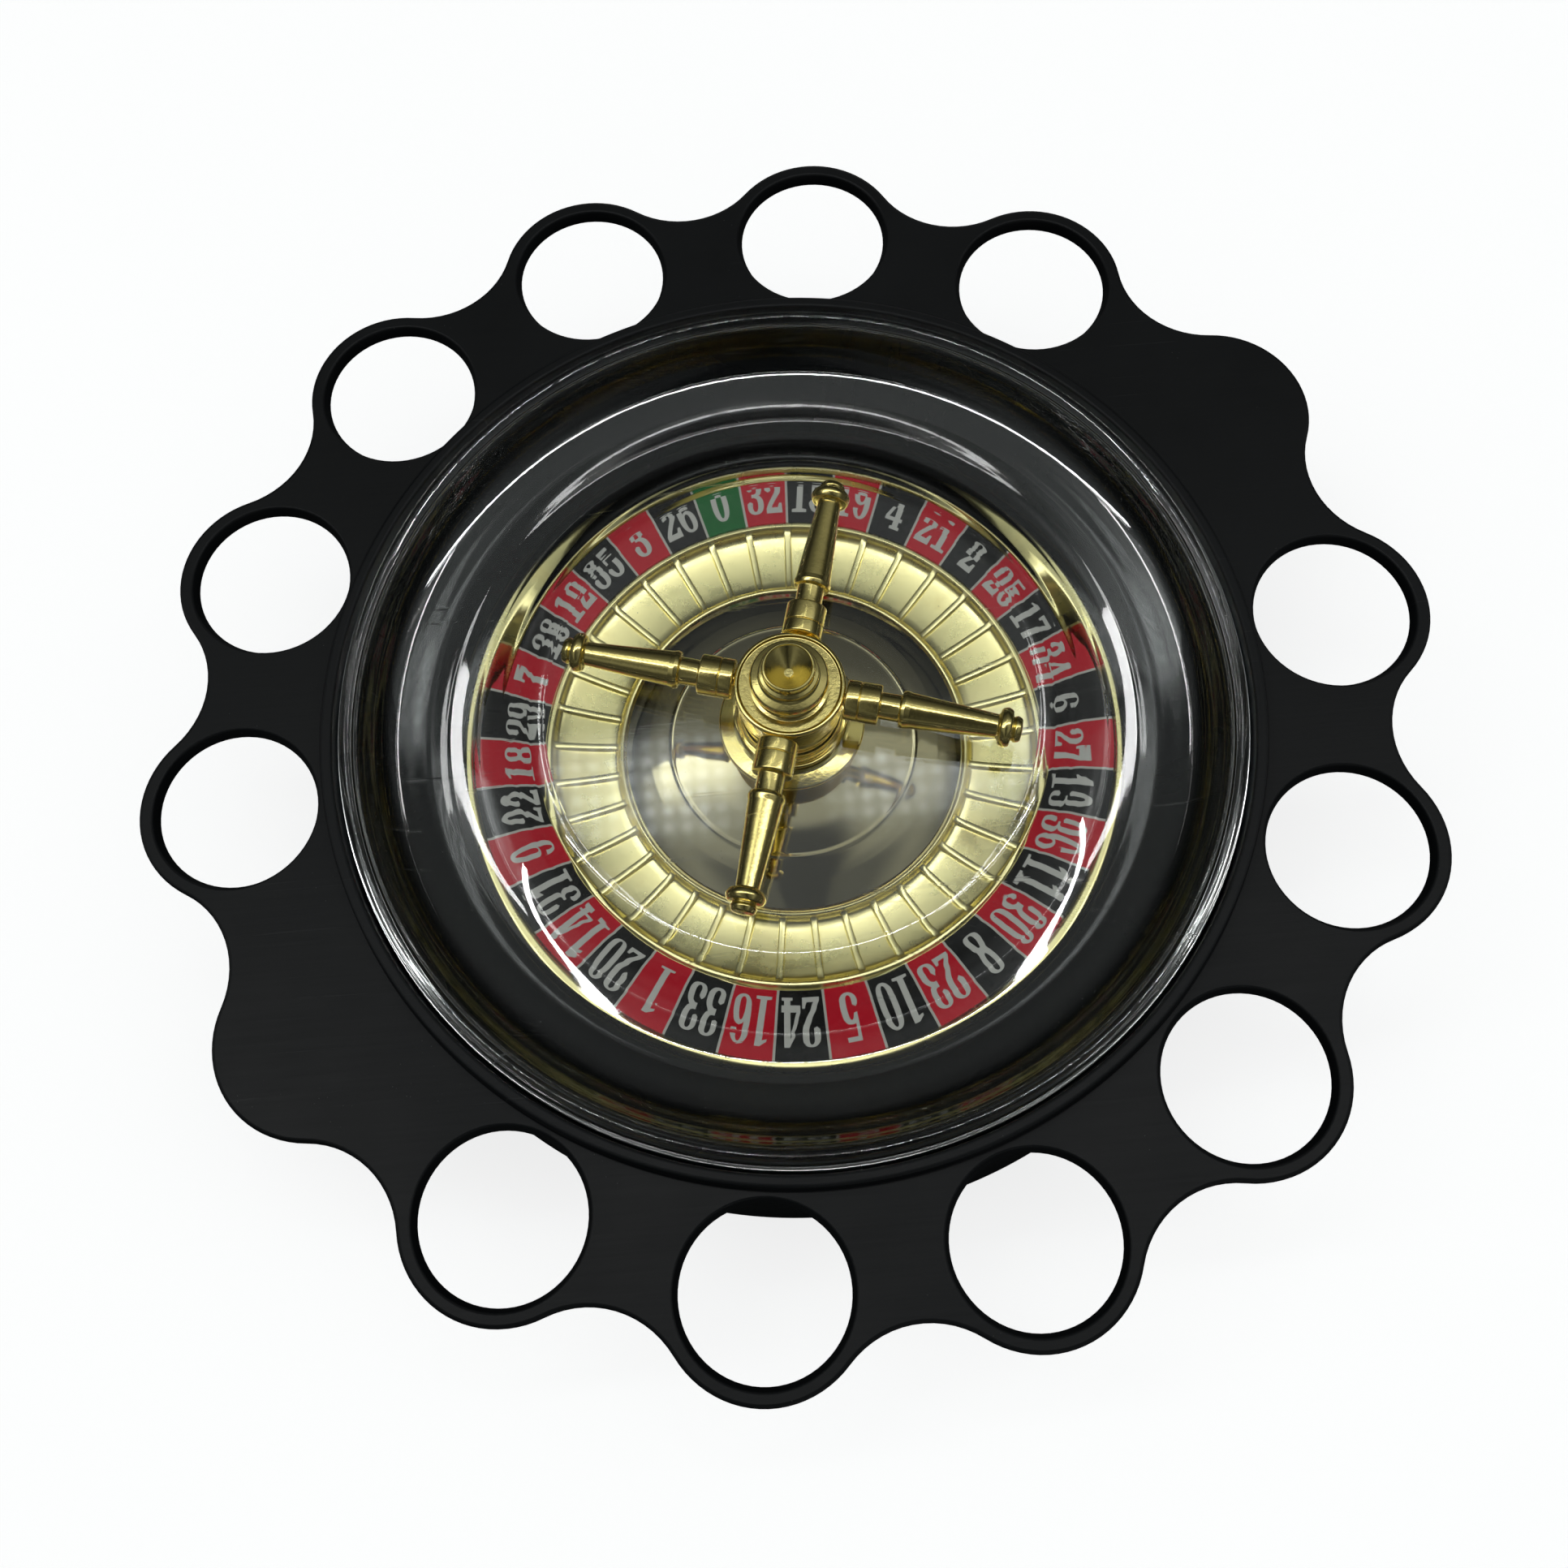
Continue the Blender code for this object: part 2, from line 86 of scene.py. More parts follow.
def rounded(points, closed=True, steps=4):
    """A profile whose corners, given as (r, z, fillet), are replaced by arcs."""
    count = len(points)
    out = []
    for k, point in enumerate(points):
        here = Vector(point[:2])
        fillet = point[2] if len(point) > 2 else 0.0
        if fillet <= 0.0 or (not closed and k in (0, count - 1)):
            out.append((here.x, here.y))
            continue
        before = Vector(points[k - 1][:2]) - here
        after = Vector(points[(k + 1) % count][:2]) - here
        angle = before.angle(after)
        if angle > math.pi - 0.02:
            out.append((here.x, here.y))
            continue
        reach = fillet / math.tan(angle / 2.0)
        limit = 0.48 * min(before.length, after.length)
        reach = min(reach, limit)
        start = here + before.normalized() * reach
        end = here + after.normalized() * reach
        for j in range(steps + 1):
            t = j / steps
            p = start * (1 - t) ** 2 + here * 2 * t * (1 - t) + end * t ** 2
            out.append((p.x, p.y))
    return out


def spline(points, steps=6):
    """A smooth open curve through the points."""
    pts = [Vector(p) for p in points]
    pts = [2 * pts[0] - pts[1]] + pts + [2 * pts[-1] - pts[-2]]
    out = []
    for k in range(1, len(pts) - 2):
        a, b, c, d = pts[k - 1:k + 3]
        for j in range(steps):
            t = j / steps
            p = 0.5 * ((2 * b) + (c - a) * t + (2 * a - 5 * b + 4 * c - d) * t ** 2
                       + (3 * b - a - 3 * c + d) * t ** 3)
            out.append((p.x, p.y))
    out.append(tuple(points[-1]))
    return out


def circle(bm, radius, height, steps, start=0.0, centre=(0.0, 0.0)):
    if radius < 1e-9:
        return [bm.verts.new((centre[0], centre[1], height))]
    loop = []
    for k in range(steps):
        x, y = polar(radius, start + 2.0 * math.pi * k / steps)
        loop.append(bm.verts.new((centre[0] + x, centre[1] + y, height)))
    return loop


def bridge(bm, first, second):
    if len(first) < len(second):
        first, second = second, first
    count = len(first)
    made = []
    for k in range(count):
        n = (k + 1) % count
        if len(second) == 1:
            made.append(bm.faces.new((first[k], first[n], second[0])))
        else:
            made.append(bm.faces.new((first[k], first[n], second[n], second[k])))
    return made


def chain(bm, loops, closed=False):
    for first, second in zip(loops, loops[1:]):
        bridge(bm, first, second)
    if closed:
        bridge(bm, loops[-1], loops[0])


def fill(bm, loops):
    edges = []
    for loop in loops:
        for k, vert in enumerate(loop):
            nxt = loop[(k + 1) % len(loop)]
            edges.append(bm.edges.get((vert, nxt)) or bm.edges.new((vert, nxt)))
    bmesh.ops.triangle_fill(bm, use_beauty=True, edges=edges, normal=(0.0, 0.0, 1.0))


def revolve(bm, profile, steps, start=0.0, centre=(0.0, 0.0)):
    loops = [circle(bm, r, z, steps, start, centre) for r, z in profile]
    chain(bm, loops, closed=all(r > 1e-9 for r, _ in profile))
    return loops


def piece(name, bm, mats, body, nodes, sharp=40.0):
    """Turns a mesh in deck millimetres into a shown piece that stands for CAD nodes."""
    bmesh.ops.transform(bm, matrix=Matrix.Translation((0.0, 0.0, DECK)), verts=bm.verts)
    bmesh.ops.scale(bm, vec=(MM, MM, MM), verts=bm.verts)
    bmesh.ops.recalc_face_normals(bm, faces=bm.faces)
    limit = math.radians(sharp)
    for face in bm.faces:
        face.smooth = abs(face.normal.z) < LEVEL_NORMAL
    for edge in bm.edges:
        edge.smooth = edge.calc_face_angle(0.0) < limit
    mesh = bpy.data.meshes.new(name)
    bm.to_mesh(mesh)
    bm.free()
    for mat in mats:
        mesh.materials.append(mat)
    obj = bpy.data.objects.new(name, mesh)
    bpy.context.scene.collection.objects.link(obj)
    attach(obj, body)
    if nodes:
        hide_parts(*nodes)
    return obj


def turned(name, profile, steps, mat, body, node, start=0.0, centre=(0.0, 0.0), sharp=40.0):
    bm = bmesh.new()
    revolve(bm, profile, steps, start, centre)
    return piece(name, bm, [mat], body, [node], sharp)


# --- materials ------------------------------------------------------------

class Nodes:
    """Short-hand for building a node material."""

    def __init__(self, name, world=False):
        self.mat = (bpy.data.worlds if world else bpy.data.materials).new(name)
        self.mat.use_nodes = True
        self.tree = self.mat.node_tree
        self.tree.nodes.clear()
        self.out = self.add("ShaderNodeOutputWorld" if world else "ShaderNodeOutputMaterial")
        coords = self.add("ShaderNodeTexCoord").outputs
        self.coords = coords["Generated" if world else "Object"]

    def add(self, kind, **settings):
        node = self.tree.nodes.new(kind)
        for key, value in settings.items():
            setattr(node, key, value)
        return node

    def put(self, node, **inputs):
        for key, value in inputs.items():
            socket = node.inputs[key.replace("_", " ")]
            if isinstance(value, bpy.types.NodeSocket):
                self.tree.links.new(value, socket)
            else:
                socket.default_value = value
        return node

    def mapped(self, scale, turn=(0.0, 0.0, 0.0)):
        node = self.add("ShaderNodeMapping")
        return self.put(node, Vector=self.coords, Scale=scale, Rotation=turn).outputs[0]

    def noise(self, scale, detail=4.0, rough=0.55, vector=None, distortion=0.0):
        node = self.add("ShaderNodeTexNoise")
        self.put(node, Vector=vector or self.coords, Scale=scale, Detail=detail, Roughness=rough,
                 Distortion=distortion)
        return node.outputs["Fac"]

    def ramp(self, value, low, high, to_low=0.0, to_high=1.0):
        node = self.add("ShaderNodeMapRange", interpolation_type="SMOOTHSTEP")
        node.inputs["Value"].default_value = 0.0
        self.tree.links.new(value, node.inputs["Value"])
        for key, number in (("From Min", low), ("From Max", high), ("To Min", to_low),
                            ("To Max", to_high)):
            node.inputs[key].default_value = number
        return node.outputs["Result"]

    def math(self, operation, a, b=0.0):
        node = self.add("ShaderNodeMath", operation=operation)
        for socket, value in zip(node.inputs, (a, b)):
            if isinstance(value, bpy.types.NodeSocket):
                self.tree.links.new(value, socket)
            else:
                socket.default_value = value
        return node.outputs[0]

    def mix(self, fac, a, b):
        node = self.add("ShaderNodeMix", data_type="RGBA")
        for socket, value in ((node.inputs[0], fac), (node.inputs[6], a), (node.inputs[7], b)):
            if isinstance(value, bpy.types.NodeSocket):
                self.tree.links.new(value, socket)
            elif isinstance(value, tuple):
                socket.default_value = (*value, 1.0)
            else:
                socket.default_value = value
        return node.outputs[2]

    def bump(self, height, strength, distance, normal=None):
        node = self.add("ShaderNodeBump")
        self.put(node, Height=height, Strength=strength, Distance=distance)
        if normal is not None:
            self.put(node, Normal=normal)
        return node.outputs[0]

    def scratches(self, density=0.72, fine=900.0, seeds=(0.3, 1.1, 2.2)):
        """Thin straight marks in a few directions."""
        total = None
        for k, turn in enumerate(seeds):
            lines = self.noise(1.0, 2.0, 0.5, self.mapped((9.0 + 4 * k, fine, 9.0), (0.0, 0.0, turn)))
            marks = self.ramp(lines, density, density + 0.05)
            broken = self.ramp(self.noise(26.0 + 9 * k, 2.0), 0.52, 0.62)
            marks = self.math("MULTIPLY", marks, broken)
            total = marks if total is None else self.math("MAXIMUM", total, marks)
        return total

    def specks(self, scale=900.0, size=0.06, share=0.55):
        """Dust: small dots, only where a coarse noise allows them."""
        cells = self.add("ShaderNodeTexVoronoi")
        self.put(cells, Vector=self.coords, Scale=scale)
        dots = self.ramp(cells.outputs["Distance"], size, size + 0.05, 1.0, 0.0)
        where = self.ramp(self.noise(60.0, 3.0), share, share + 0.06)
        return self.math("MULTIPLY", dots, where)

    def principled(self, **inputs):
        shader = self.add("ShaderNodeBsdfPrincipled")
        self.put(shader, **inputs)
        return shader.outputs[0]

    def finish(self, shader):
        self.tree.links.new(shader, self.out.inputs["Surface"])
        return self.mat


def satin_black():
    n = Nodes("satin_black")
    brushed = n.noise(1.0, 3.0, 0.6, n.mapped((40.0, 1600.0, 40.0), (0.0, 0.0, 1.45)))
    cloud = n.noise(22.0, 5.0)
    marks = n.scratches(0.70, 1400.0, (1.35, 1.55, 0.2))
    dust = n.specks(700.0, 0.05, 0.58)
    colour = n.mix(n.ramp(cloud, 0.3, 0.7), (0.0026, 0.0036, 0.0044), (0.0052, 0.0068, 0.0080))
    colour = n.mix(n.math("MULTIPLY", marks, 0.18), colour, (0.06, 0.06, 0.062))
    colour = n.mix(n.math("MULTIPLY", dust, 0.4), colour, (0.12, 0.12, 0.115))
    rough = n.math("ADD", n.ramp(cloud, 0.3, 0.7, 0.42, 0.50), n.math("MULTIPLY", brushed, 0.10))
    normal = n.bump(brushed, 0.10, 0.0002)
    normal = n.bump(n.noise(1500.0, 2.0), 0.10, 0.0001, normal)
    return n.finish(n.principled(Base_Color=colour, Roughness=rough, Specular_IOR_Level=0.18,
                                 Normal=normal))


def gloss_black():
    n = Nodes("gloss_black")
    smudge = n.noise(30.0, 5.0, 0.6, None, 1.5)
    marks = n.scratches(0.72, 700.0)
    dust = n.specks(800.0, 0.05, 0.60)
    colour = n.mix(n.ramp(smudge, 0.35, 0.7), (0.0012, 0.0026, 0.0030), (0.0025, 0.0042, 0.0046))
    colour = n.mix(n.math("MULTIPLY", dust, 0.35), colour, (0.2, 0.2, 0.19))
    rough = n.math("ADD", n.ramp(smudge, 0.4, 0.75, 0.14, 0.24), n.math("MULTIPLY", marks, 0.3))
    normal = n.bump(n.noise(35.0, 2.0), 0.05, 0.001)
    return n.finish(n.principled(Base_Color=colour, Roughness=rough, Specular_IOR_Level=0.1,
                                 Normal=normal))


def clear_plastic():
    """Refracts for the eye, and lets light and shadow rays straight through."""
    n = Nodes("clear_plastic")
    marks = n.scratches(0.70, 800.0, (0.5, 1.3, 2.6, 2.0))
    dust = n.specks(650.0, 0.045, 0.57)
    normal = n.bump(n.noise(45.0, 2.0), 0.004, 0.001)
    normal = n.bump(marks, 0.05, 0.0001, normal)
    smear = n.ramp(n.noise(18.0, 5.0, 0.6, None, 1.0), 0.45, 0.8, 0.035, 0.055)
    glass = n.principled(Base_Color=(0.985, 0.992, 0.985, 1.0), Roughness=smear, IOR=1.49,
                         Transmission_Weight=1.0, Normal=normal)
    film = n.principled(Base_Color=(0.45, 0.46, 0.45, 1.0), Roughness=0.5, Specular_IOR_Level=0.0)
    cover = n.math("MINIMUM", n.math("ADD", n.math("MULTIPLY", marks, 0.10),
                                     n.math("MULTIPLY", dust, 0.5)), 0.8)
    dirty = n.add("ShaderNodeMixShader")
    n.tree.links.new(cover, dirty.inputs[0])
    n.tree.links.new(glass, dirty.inputs[1])
    n.tree.links.new(film, dirty.inputs[2])
    path = n.add("ShaderNodeLightPath")
    through = n.add("ShaderNodeBsdfTransparent")
    through.inputs[0].default_value = (0.93, 0.94, 0.93, 1.0)
    passing = n.math("MAXIMUM", path.outputs["Is Shadow Ray"], path.outputs["Is Diffuse Ray"])
    beneath = n.math("GREATER_THAN", path.outputs["Transmission Depth"], 1.5)
    passing = n.math("MAXIMUM", passing, n.math("MULTIPLY", path.outputs["Is Glossy Ray"], beneath))
    both = n.add("ShaderNodeMixShader")
    n.tree.links.new(passing, both.inputs[0])
    n.tree.links.new(dirty.outputs[0], both.inputs[1])
    n.tree.links.new(through.outputs[0], both.inputs[2])
    return n.finish(both.outputs[0])


def clear_edge():
    """The cut wall of the hole: a faint frosted line that hides the bending inside the sheet."""
    n = Nodes("clear_edge")
    through = n.add("ShaderNodeBsdfTransparent")
    through.inputs[0].default_value = (0.86, 0.88, 0.84, 1.0)
    frost = n.principled(Base_Color=(0.30, 0.31, 0.28, 1.0), Roughness=0.5,
                         Specular_IOR_Level=0.0)
    share = n.add("ShaderNodeMixShader")
    n.tree.links.new(n.ramp(n.noise(240.0, 3.0), 0.3, 0.8, 0.02, 0.10), share.inputs[0])
    n.tree.links.new(through.outputs[0], share.inputs[1])
    n.tree.links.new(frost, share.inputs[2])
    return n.finish(share.outputs[0])


def gold(name, roughness, tone, lumps):
    """Vacuum-plated plastic: bright, faintly lumpy, worn in small cloudy spots."""
    n = Nodes(name)
    cloud = n.noise(110.0, 6.0, 0.65)
    spots = n.noise(420.0, 4.0, 0.7)
    marks = n.scratches(0.70, 1100.0)
    dark = tuple(c * f for c, f in zip(tone, (0.78, 0.70, 0.55)))
    colour = n.mix(n.ramp(cloud, 0.55, 0.95), tone, dark)
    colour = n.mix(n.ramp(spots, 0.66, 0.86), colour, dark)
    rough = n.math("ADD", n.ramp(cloud, 0.30, 0.72, roughness * 0.75, roughness * 1.3),
                   n.math("MULTIPLY", marks, 0.15))
    normal = n.bump(cloud, lumps, 0.0006)
    normal = n.bump(spots, lumps, 0.0002, normal)
    normal = n.bump(n.noise(1500.0, 3.0), 0.08, 0.0001, normal)
    return n.finish(n.principled(Base_Color=colour, Metallic=1.0, Roughness=rough, Normal=normal))


def champagne_mirror():
    n = Nodes("champagne_mirror")
    haze = n.noise(40.0, 5.0, 0.6, None, 1.0)
    marks = n.scratches(0.73, 1200.0, (0.2, 0.9, 1.9))
    colour = n.mix(n.ramp(haze, 0.4, 0.7), (0.68, 0.60, 0.38), (0.60, 0.52, 0.31))
    rough = n.math("ADD", n.ramp(haze, 0.4, 0.75, 0.05, 0.11), n.math("MULTIPLY", marks, 0.25))
    normal = n.bump(n.noise(60.0, 2.0), 0.03, 0.0006)
    return n.finish(n.principled(Base_Color=colour, Metallic=1.0, Roughness=rough, Normal=normal))


def ink(name, colour, worn):
    n = Nodes(name)
    fade = n.noise(140.0, 5.0, 0.7)
    marks = n.scratches(0.69, 900.0)
    tone = n.mix(n.ramp(fade, 0.56, 0.90, 0.0, 0.5), colour, worn)
    tone = n.mix(n.math("MULTIPLY", marks, 0.3), tone, worn)
    rough = n.ramp(fade, 0.3, 0.8, 0.22, 0.40)
    return n.finish(n.principled(Base_Color=tone, Roughness=rough, Specular_IOR_Level=0.12,
                                 Normal=n.bump(fade, 0.05, 0.0001)))


def plain(name, colour, roughness, metallic=0.0):
    n = Nodes(name)
    cloud = n.noise(90.0, 5.0)
    marks = n.scratches(0.70, 1000.0)
    tone = n.mix(n.ramp(cloud, 0.3, 0.75), colour, tuple(c * 0.75 for c in colour))
    rough = n.math("ADD", n.ramp(cloud, 0.3, 0.7, roughness * 0.8, roughness * 1.2),
                   n.math("MULTIPLY", marks, 0.15))
    return n.finish(n.principled(Base_Color=tone, Roughness=rough, Metallic=metallic,
                                 Normal=n.bump(n.noise(900.0, 3.0), 0.12, 0.0001)))


# --- tray, bowl, base -----------------------------------------------------

def outline(bm, inset, height, lobe_steps=22, valley_steps=14):
    half = LOBE_PITCH / 2.0
    reach = LOBE_RADIUS + VALLEY_RADIUS
    offset = math.sqrt(reach ** 2 - (HOLE_CIRCLE * math.sin(half)) ** 2)
    valley_centre = HOLE_CIRCLE * math.cos(half) + offset
    lean = math.atan2(valley_centre * math.sin(half), valley_centre * math.cos(half) - HOLE_CIRCLE)
    sweep = lean - half
    loop = []
    for index in range(LOBES):
        middle = LOBE_PHASE + index * LOBE_PITCH
        centre = Vector(polar(HOLE_CIRCLE, middle))
        for k in range(lobe_steps + 1):
            angle = middle - lean + 2.0 * lean * k / lobe_steps
            point = centre + Vector(polar(LOBE_RADIUS - inset, angle))
            loop.append(bm.verts.new((point.x, point.y, height)))
        centre = Vector(polar(valley_centre, middle + half))
        for k in range(1, valley_steps):
            angle = middle + half + math.pi + sweep - 2.0 * sweep * k / valley_steps
            point = centre + Vector(polar(VALLEY_RADIUS + inset, angle))
            loop.append(bm.verts.new((point.x, point.y, height)))
    return loop


def build_tray(mat):
    bm = bmesh.new()
    edge = [(0.9, 0.0), (0.55, -0.08), (0.25, -0.28), (0.05, -0.6), (0.0, -0.95), (0.0, -2.1),
            (0.08, -2.45), (0.3, -2.7), (0.6, -2.8)]
    edge_loops = [outline(bm, inset, z) for inset, z in edge]
    chain(bm, edge_loops)
    hole = [(18.15, 0.0), (17.95, -0.06), (17.75, -0.22), (17.62, -0.5), (17.55, -0.8),
            (16.85, -2.55), (16.9, -2.72), (17.05, -2.8)]
    hole_loops = []
    for index in range(LOBES):
        if index in PLAIN_LOBES:
            continue
        angle = LOBE_PHASE - index * LOBE_PITCH
        loops = [circle(bm, r, z, STEPS_SMALL, angle, polar(HOLE_CIRCLE, angle)) for r, z in hole]
        chain(bm, loops)
        hole_loops.append(loops)
    profile = [(101.6, 0.0)] + rounded([
        (101.6, 0.0), (101.0, 0.0, 0.35), (100.6, 3.7, 0.9), (98.0, 3.7, 0.7), (98.0, -4.0, 0.2),
        (95.3, -4.0, 0.2), (95.3, -6.6, 0.4), (99.0, -6.6, 0.6), (100.4, -35.6, 0.1),
        (101.3, -35.6, 0.1), (101.5, -41.0, 0.3), (103.9, -41.0, 0.5), (101.9, -2.8),
    ], closed=False)[1:]
    drum = [circle(bm, r, z, STEPS_LARGE) for r, z in profile]
    chain(bm, drum)
    fill(bm, [edge_loops[0], drum[0]] + [loops[0] for loops in hole_loops])
    fill(bm, [edge_loops[-1], drum[-1]] + [loops[-1] for loops in hole_loops])
    return piece("tray_shell", bm, [mat], "base", ["glass_tray"])


def fastener_spots(phase):
    return [polar(FASTENER_CIRCLE, phase + k * math.pi / 2.0) for k in range(4)]


def build_bowl(mat):
    slope = spline([(95.0, -0.9), (91.6, -4.0), (86.0, -9.1), (80.6, -13.6), (76.0, -17.0)])
    profile = rounded([(97.6, -3.7, 0.3), (97.6, -0.3, 0.5), (95.5, -0.3, 0.6)] + slope
                      + [(74.9, -17.7, 0.6), (74.6, -31.6, 1.5), (3.05, -31.6),
                         (3.05, -34.0), (77.0, -34.0, 1.5), (77.0, -19.2, 0.8), (94.9, -3.7, 0.4)])
    bm = bmesh.new()
    revolve(bm, profile, STEPS_LARGE)
    bowl = piece("bowl_shell", bm, [mat], "base", ["bowl"])
    bm = bmesh.new()
    wall_slope, foot = 0.845, (75.6, -17.2)
    for spot in fastener_spots(math.pi / 4.0):
        loops = revolve(bm, [(0.0, -26.0), (1.7, -26.0), (1.7, -38.4), (3.6, -38.4), (3.6, -12.0),
                             (0.0, -12.0)], STEPS_ARM, 0.0, spot)
        for vert in loops[-2] + loops[-1]:
            radius = math.hypot(vert.co.x, vert.co.y)
            vert.co.z = foot[1] + (radius - foot[0]) * wall_slope - 1.0
    bosses = piece("bowl_bosses", bm, [mat], "base", [])
    return bowl, bosses


def build_base_plate(mat):
    bm = bmesh.new()
    profile = rounded([(99.4, -38.7), (99.2, -35.9, 0.4), (100.9, -35.9, 0.4), (101.1, -40.9, 0.7),
                       (99.0, -40.9)], closed=False)
    rim = [circle(bm, r, z, STEPS_LARGE) for r, z in profile]
    chain(bm, rim)
    tops, bottoms = [rim[0]], [rim[-1]]
    for phase, radius in ((math.pi / 4.0, 1.9), (0.0, 2.6)):
        for spot in fastener_spots(phase):
            loops = [circle(bm, radius + grow, z, STEPS_ARM, 0.0, spot)
                     for grow, z in ((0.2, -38.7), (0.0, -38.9), (0.0, -40.7), (0.2, -40.9))]
            chain(bm, loops)
            tops.append(loops[0])
            bottoms.append(loops[-1])
    fill(bm, tops)
    fill(bm, bottoms)
    return piece("closing_plate", bm, [mat], "base", ["base_plate"])


def build_fasteners(steel, rubber):
    for k, spot in enumerate(fastener_spots(math.pi / 4.0)):
        profile = rounded([(0.0, -42.4), (1.9, -42.45, 0.3), (3.2, -41.9, 0.5), (3.2, -41.1, 0.1),
                           (1.5, -41.1), (1.5, -28.6, 0.3), (0.0, -27.4)], closed=False)
        bm = bmesh.new()
        revolve(bm, profile, STEPS_ARM, 0.0, spot)
        piece(f"screw_{k + 1}", bm, [steel], "base", [f"base_screw_{k + 1}"])
    for k, spot in enumerate(fastener_spots(0.0)):
        profile = rounded([(0.0, -44.0), (7.0, -44.0, 0.9), (7.0, -41.2, 0.6), (2.3, -41.2),
                           (2.3, -39.0, 0.3), (0.0, -39.0)], closed=False)
        turned(f"foot_{k + 1}", profile, STEPS_SMALL, rubber, "base", f"rubber_foot_{k + 1}",
               0.0, spot)


COVER_HOLE = 12.2
COVER_TOP = [(53.2, 1.7), (54.4, 1.6), (55.6, 1.2), (57.0, 0.4), (58.6, -0.6), (60.4, -1.65),
             (62.2, -2.6), (66.0, -4.15), (70.0, -5.22), (74.4, -5.76), (76.0, -5.8), (79.0, -5.65),
             (82.0, -5.18), (85.5, -4.25), (88.0, -2.9), (90.0, -0.9), (91.6, 1.8), (93.0, 4.2),
             (94.6, 5.2), (96.1, 4.4), (96.9, 2.6), (97.0, 1.4)]
COVER_UNDER = [(95.1, 1.2), (94.6, 2.2), (93.6, 2.6), (92.6, 1.5), (91.0, -1.2), (89.0, -3.8),
               (87.0, -5.2), (85.0, -5.85), (82.0, -6.45), (78.0, -7.3), (74.0, -8.2),
               (69.7, -8.55), (68.0, -8.4), (66.0, -7.85), (64.0, -6.9), (62.2, -5.75),
               (60.4, -4.55), (58.8, -3.4), (57.2, -2.25), (55.9, -1.4), (54.6, -0.85), (53.0, -0.61)]


def build_cover(mat, edge_mat):
    """A turned sheet: flat in the middle, a trough, a shoulder, and a cut hole for the turret."""
    hole = COVER_HOLE
    top = [(hole + 0.25, 1.7), (30.0, 1.7), (52.0, 1.7)] + spline(COVER_TOP, 8) + [(97.0, 0.0)]
    under = [(95.2, 0.0)] + spline(COVER_UNDER, 8) + [
        (30.0, -0.6), (hole + 0.25, -0.6), (hole + 0.05, -0.5), (hole, -0.3), (hole, 1.4),
        (hole + 0.05, 1.6)]
    bm = bmesh.new()
    revolve(bm, top + under, STEPS_LARGE)
    for face in bm.faces:
        face.material_index = int(max(v.co.xy.length for v in face.verts) < hole + 0.3)
    return piece("cover_lens", bm, [mat, edge_mat], "base", ["clear_cover"])


# --- wheel ----------------------------------------------------------------

FRET_STATIONS = ((-1.15, 0.0), (-0.88, 0.0), (-0.8, 0.3), (-0.7, 0.9), (-0.5, 1.0),
                 (0.5, 1.0), (0.7, 0.9), (0.8, 0.3), (0.88, 0.0), (1.15, 0.0))
FLOOR_STEPS = 6


def wheel_columns(radius):
    """Angles round the wheel and fret share at each, with extra columns across every fret."""
    columns = []
    edge = FRET_STATIONS[-1][0] / radius
    for k in range(POCKETS):
        fret = FRET_ANGLE + k * POCKET_PITCH
        for offset, share in FRET_STATIONS:
            columns.append((fret + offset / radius, share))
        for j in range(1, FLOOR_STEPS):
            angle = fret + edge + (POCKET_PITCH - 2.0 * edge) * j / FLOOR_STEPS
            columns.append((angle, 0.0))
    return columns


def build_rotor(mat):
    bm = bmesh.new()
    outer = rounded([(73.0, -23.8), (73.2, -21.6, 0.6), (72.6, -20.8, 0.6), (71.2, -20.8, 0.5),
                     (70.65, -22.85, 0.15), (57.15, -26.95, 0.15), (57.0, -25.7, 0.3),
                     (56.6, -25.25, 0.4), (55.9, -25.25, 0.4), (55.4, -25.6)], closed=False)
    inner = rounded([(39.9, -26.0), (39.5, -25.75, 0.3), (39.0, -25.9, 0.3), (38.8, -28.7, 0.1),
                     (8.6, -28.7, 0.5), (8.6, -20.1, 0.2), (6.0, -20.1, 0.1), (6.0, -10.0, 0.3),
                     (2.05, -10.0), (2.05, -16.6), (4.25, -16.6), (4.25, -29.6), (9.0, -29.6, 0.3),
                     (9.4, -30.2), (54.6, -30.2, 0.5), (57.5, -29.0, 0.8), (71.6, -24.9, 0.5)],
                    closed=False)
    floor = [(55.4, -25.6), (55.15, -26.0), (54.8, -26.6), (54.3, -27.0), (53.6, -27.25),
             (52.5, -27.5), (50.0, -27.95), (46.5, -28.3), (43.0, -28.38), (41.4, -28.25),
             (40.7, -27.9), (40.3, -27.0), (39.9, -26.0)]
    crest = [(55.4, -25.6), (55.25, -25.7), (55.0, -25.85), (54.6, -26.0), (53.8, -26.15),
             (52.5, -26.35), (50.0, -26.65), (46.5, -26.95), (43.0, -27.0), (41.2, -26.9),
             (40.5, -26.65), (40.1, -26.3), (39.9, -26.0)]

    def row(base, top):
        loop = []
        for angle, share in wheel_columns(base[0]):
            radius = base[0] + (top[0] - base[0]) * share
            height = base[1] + (top[1] - base[1]) * share
            loop.append(bm.verts.new((*polar(radius, angle), height)))
        return loop

    loops = [row(p, p) for p in outer[:-1]]
    loops += [row(a, b) for a, b in zip(floor, crest)]
    loops += [row(p, p) for p in inner[1:]]
    chain(bm, loops, closed=True)
    return piece("rotor_disc", bm, [mat], "wheel", ["rotor"], 50.0)


def ring_height(radius):
    return RING_LOW + (radius - RING_INNER) * RING_SLOPE


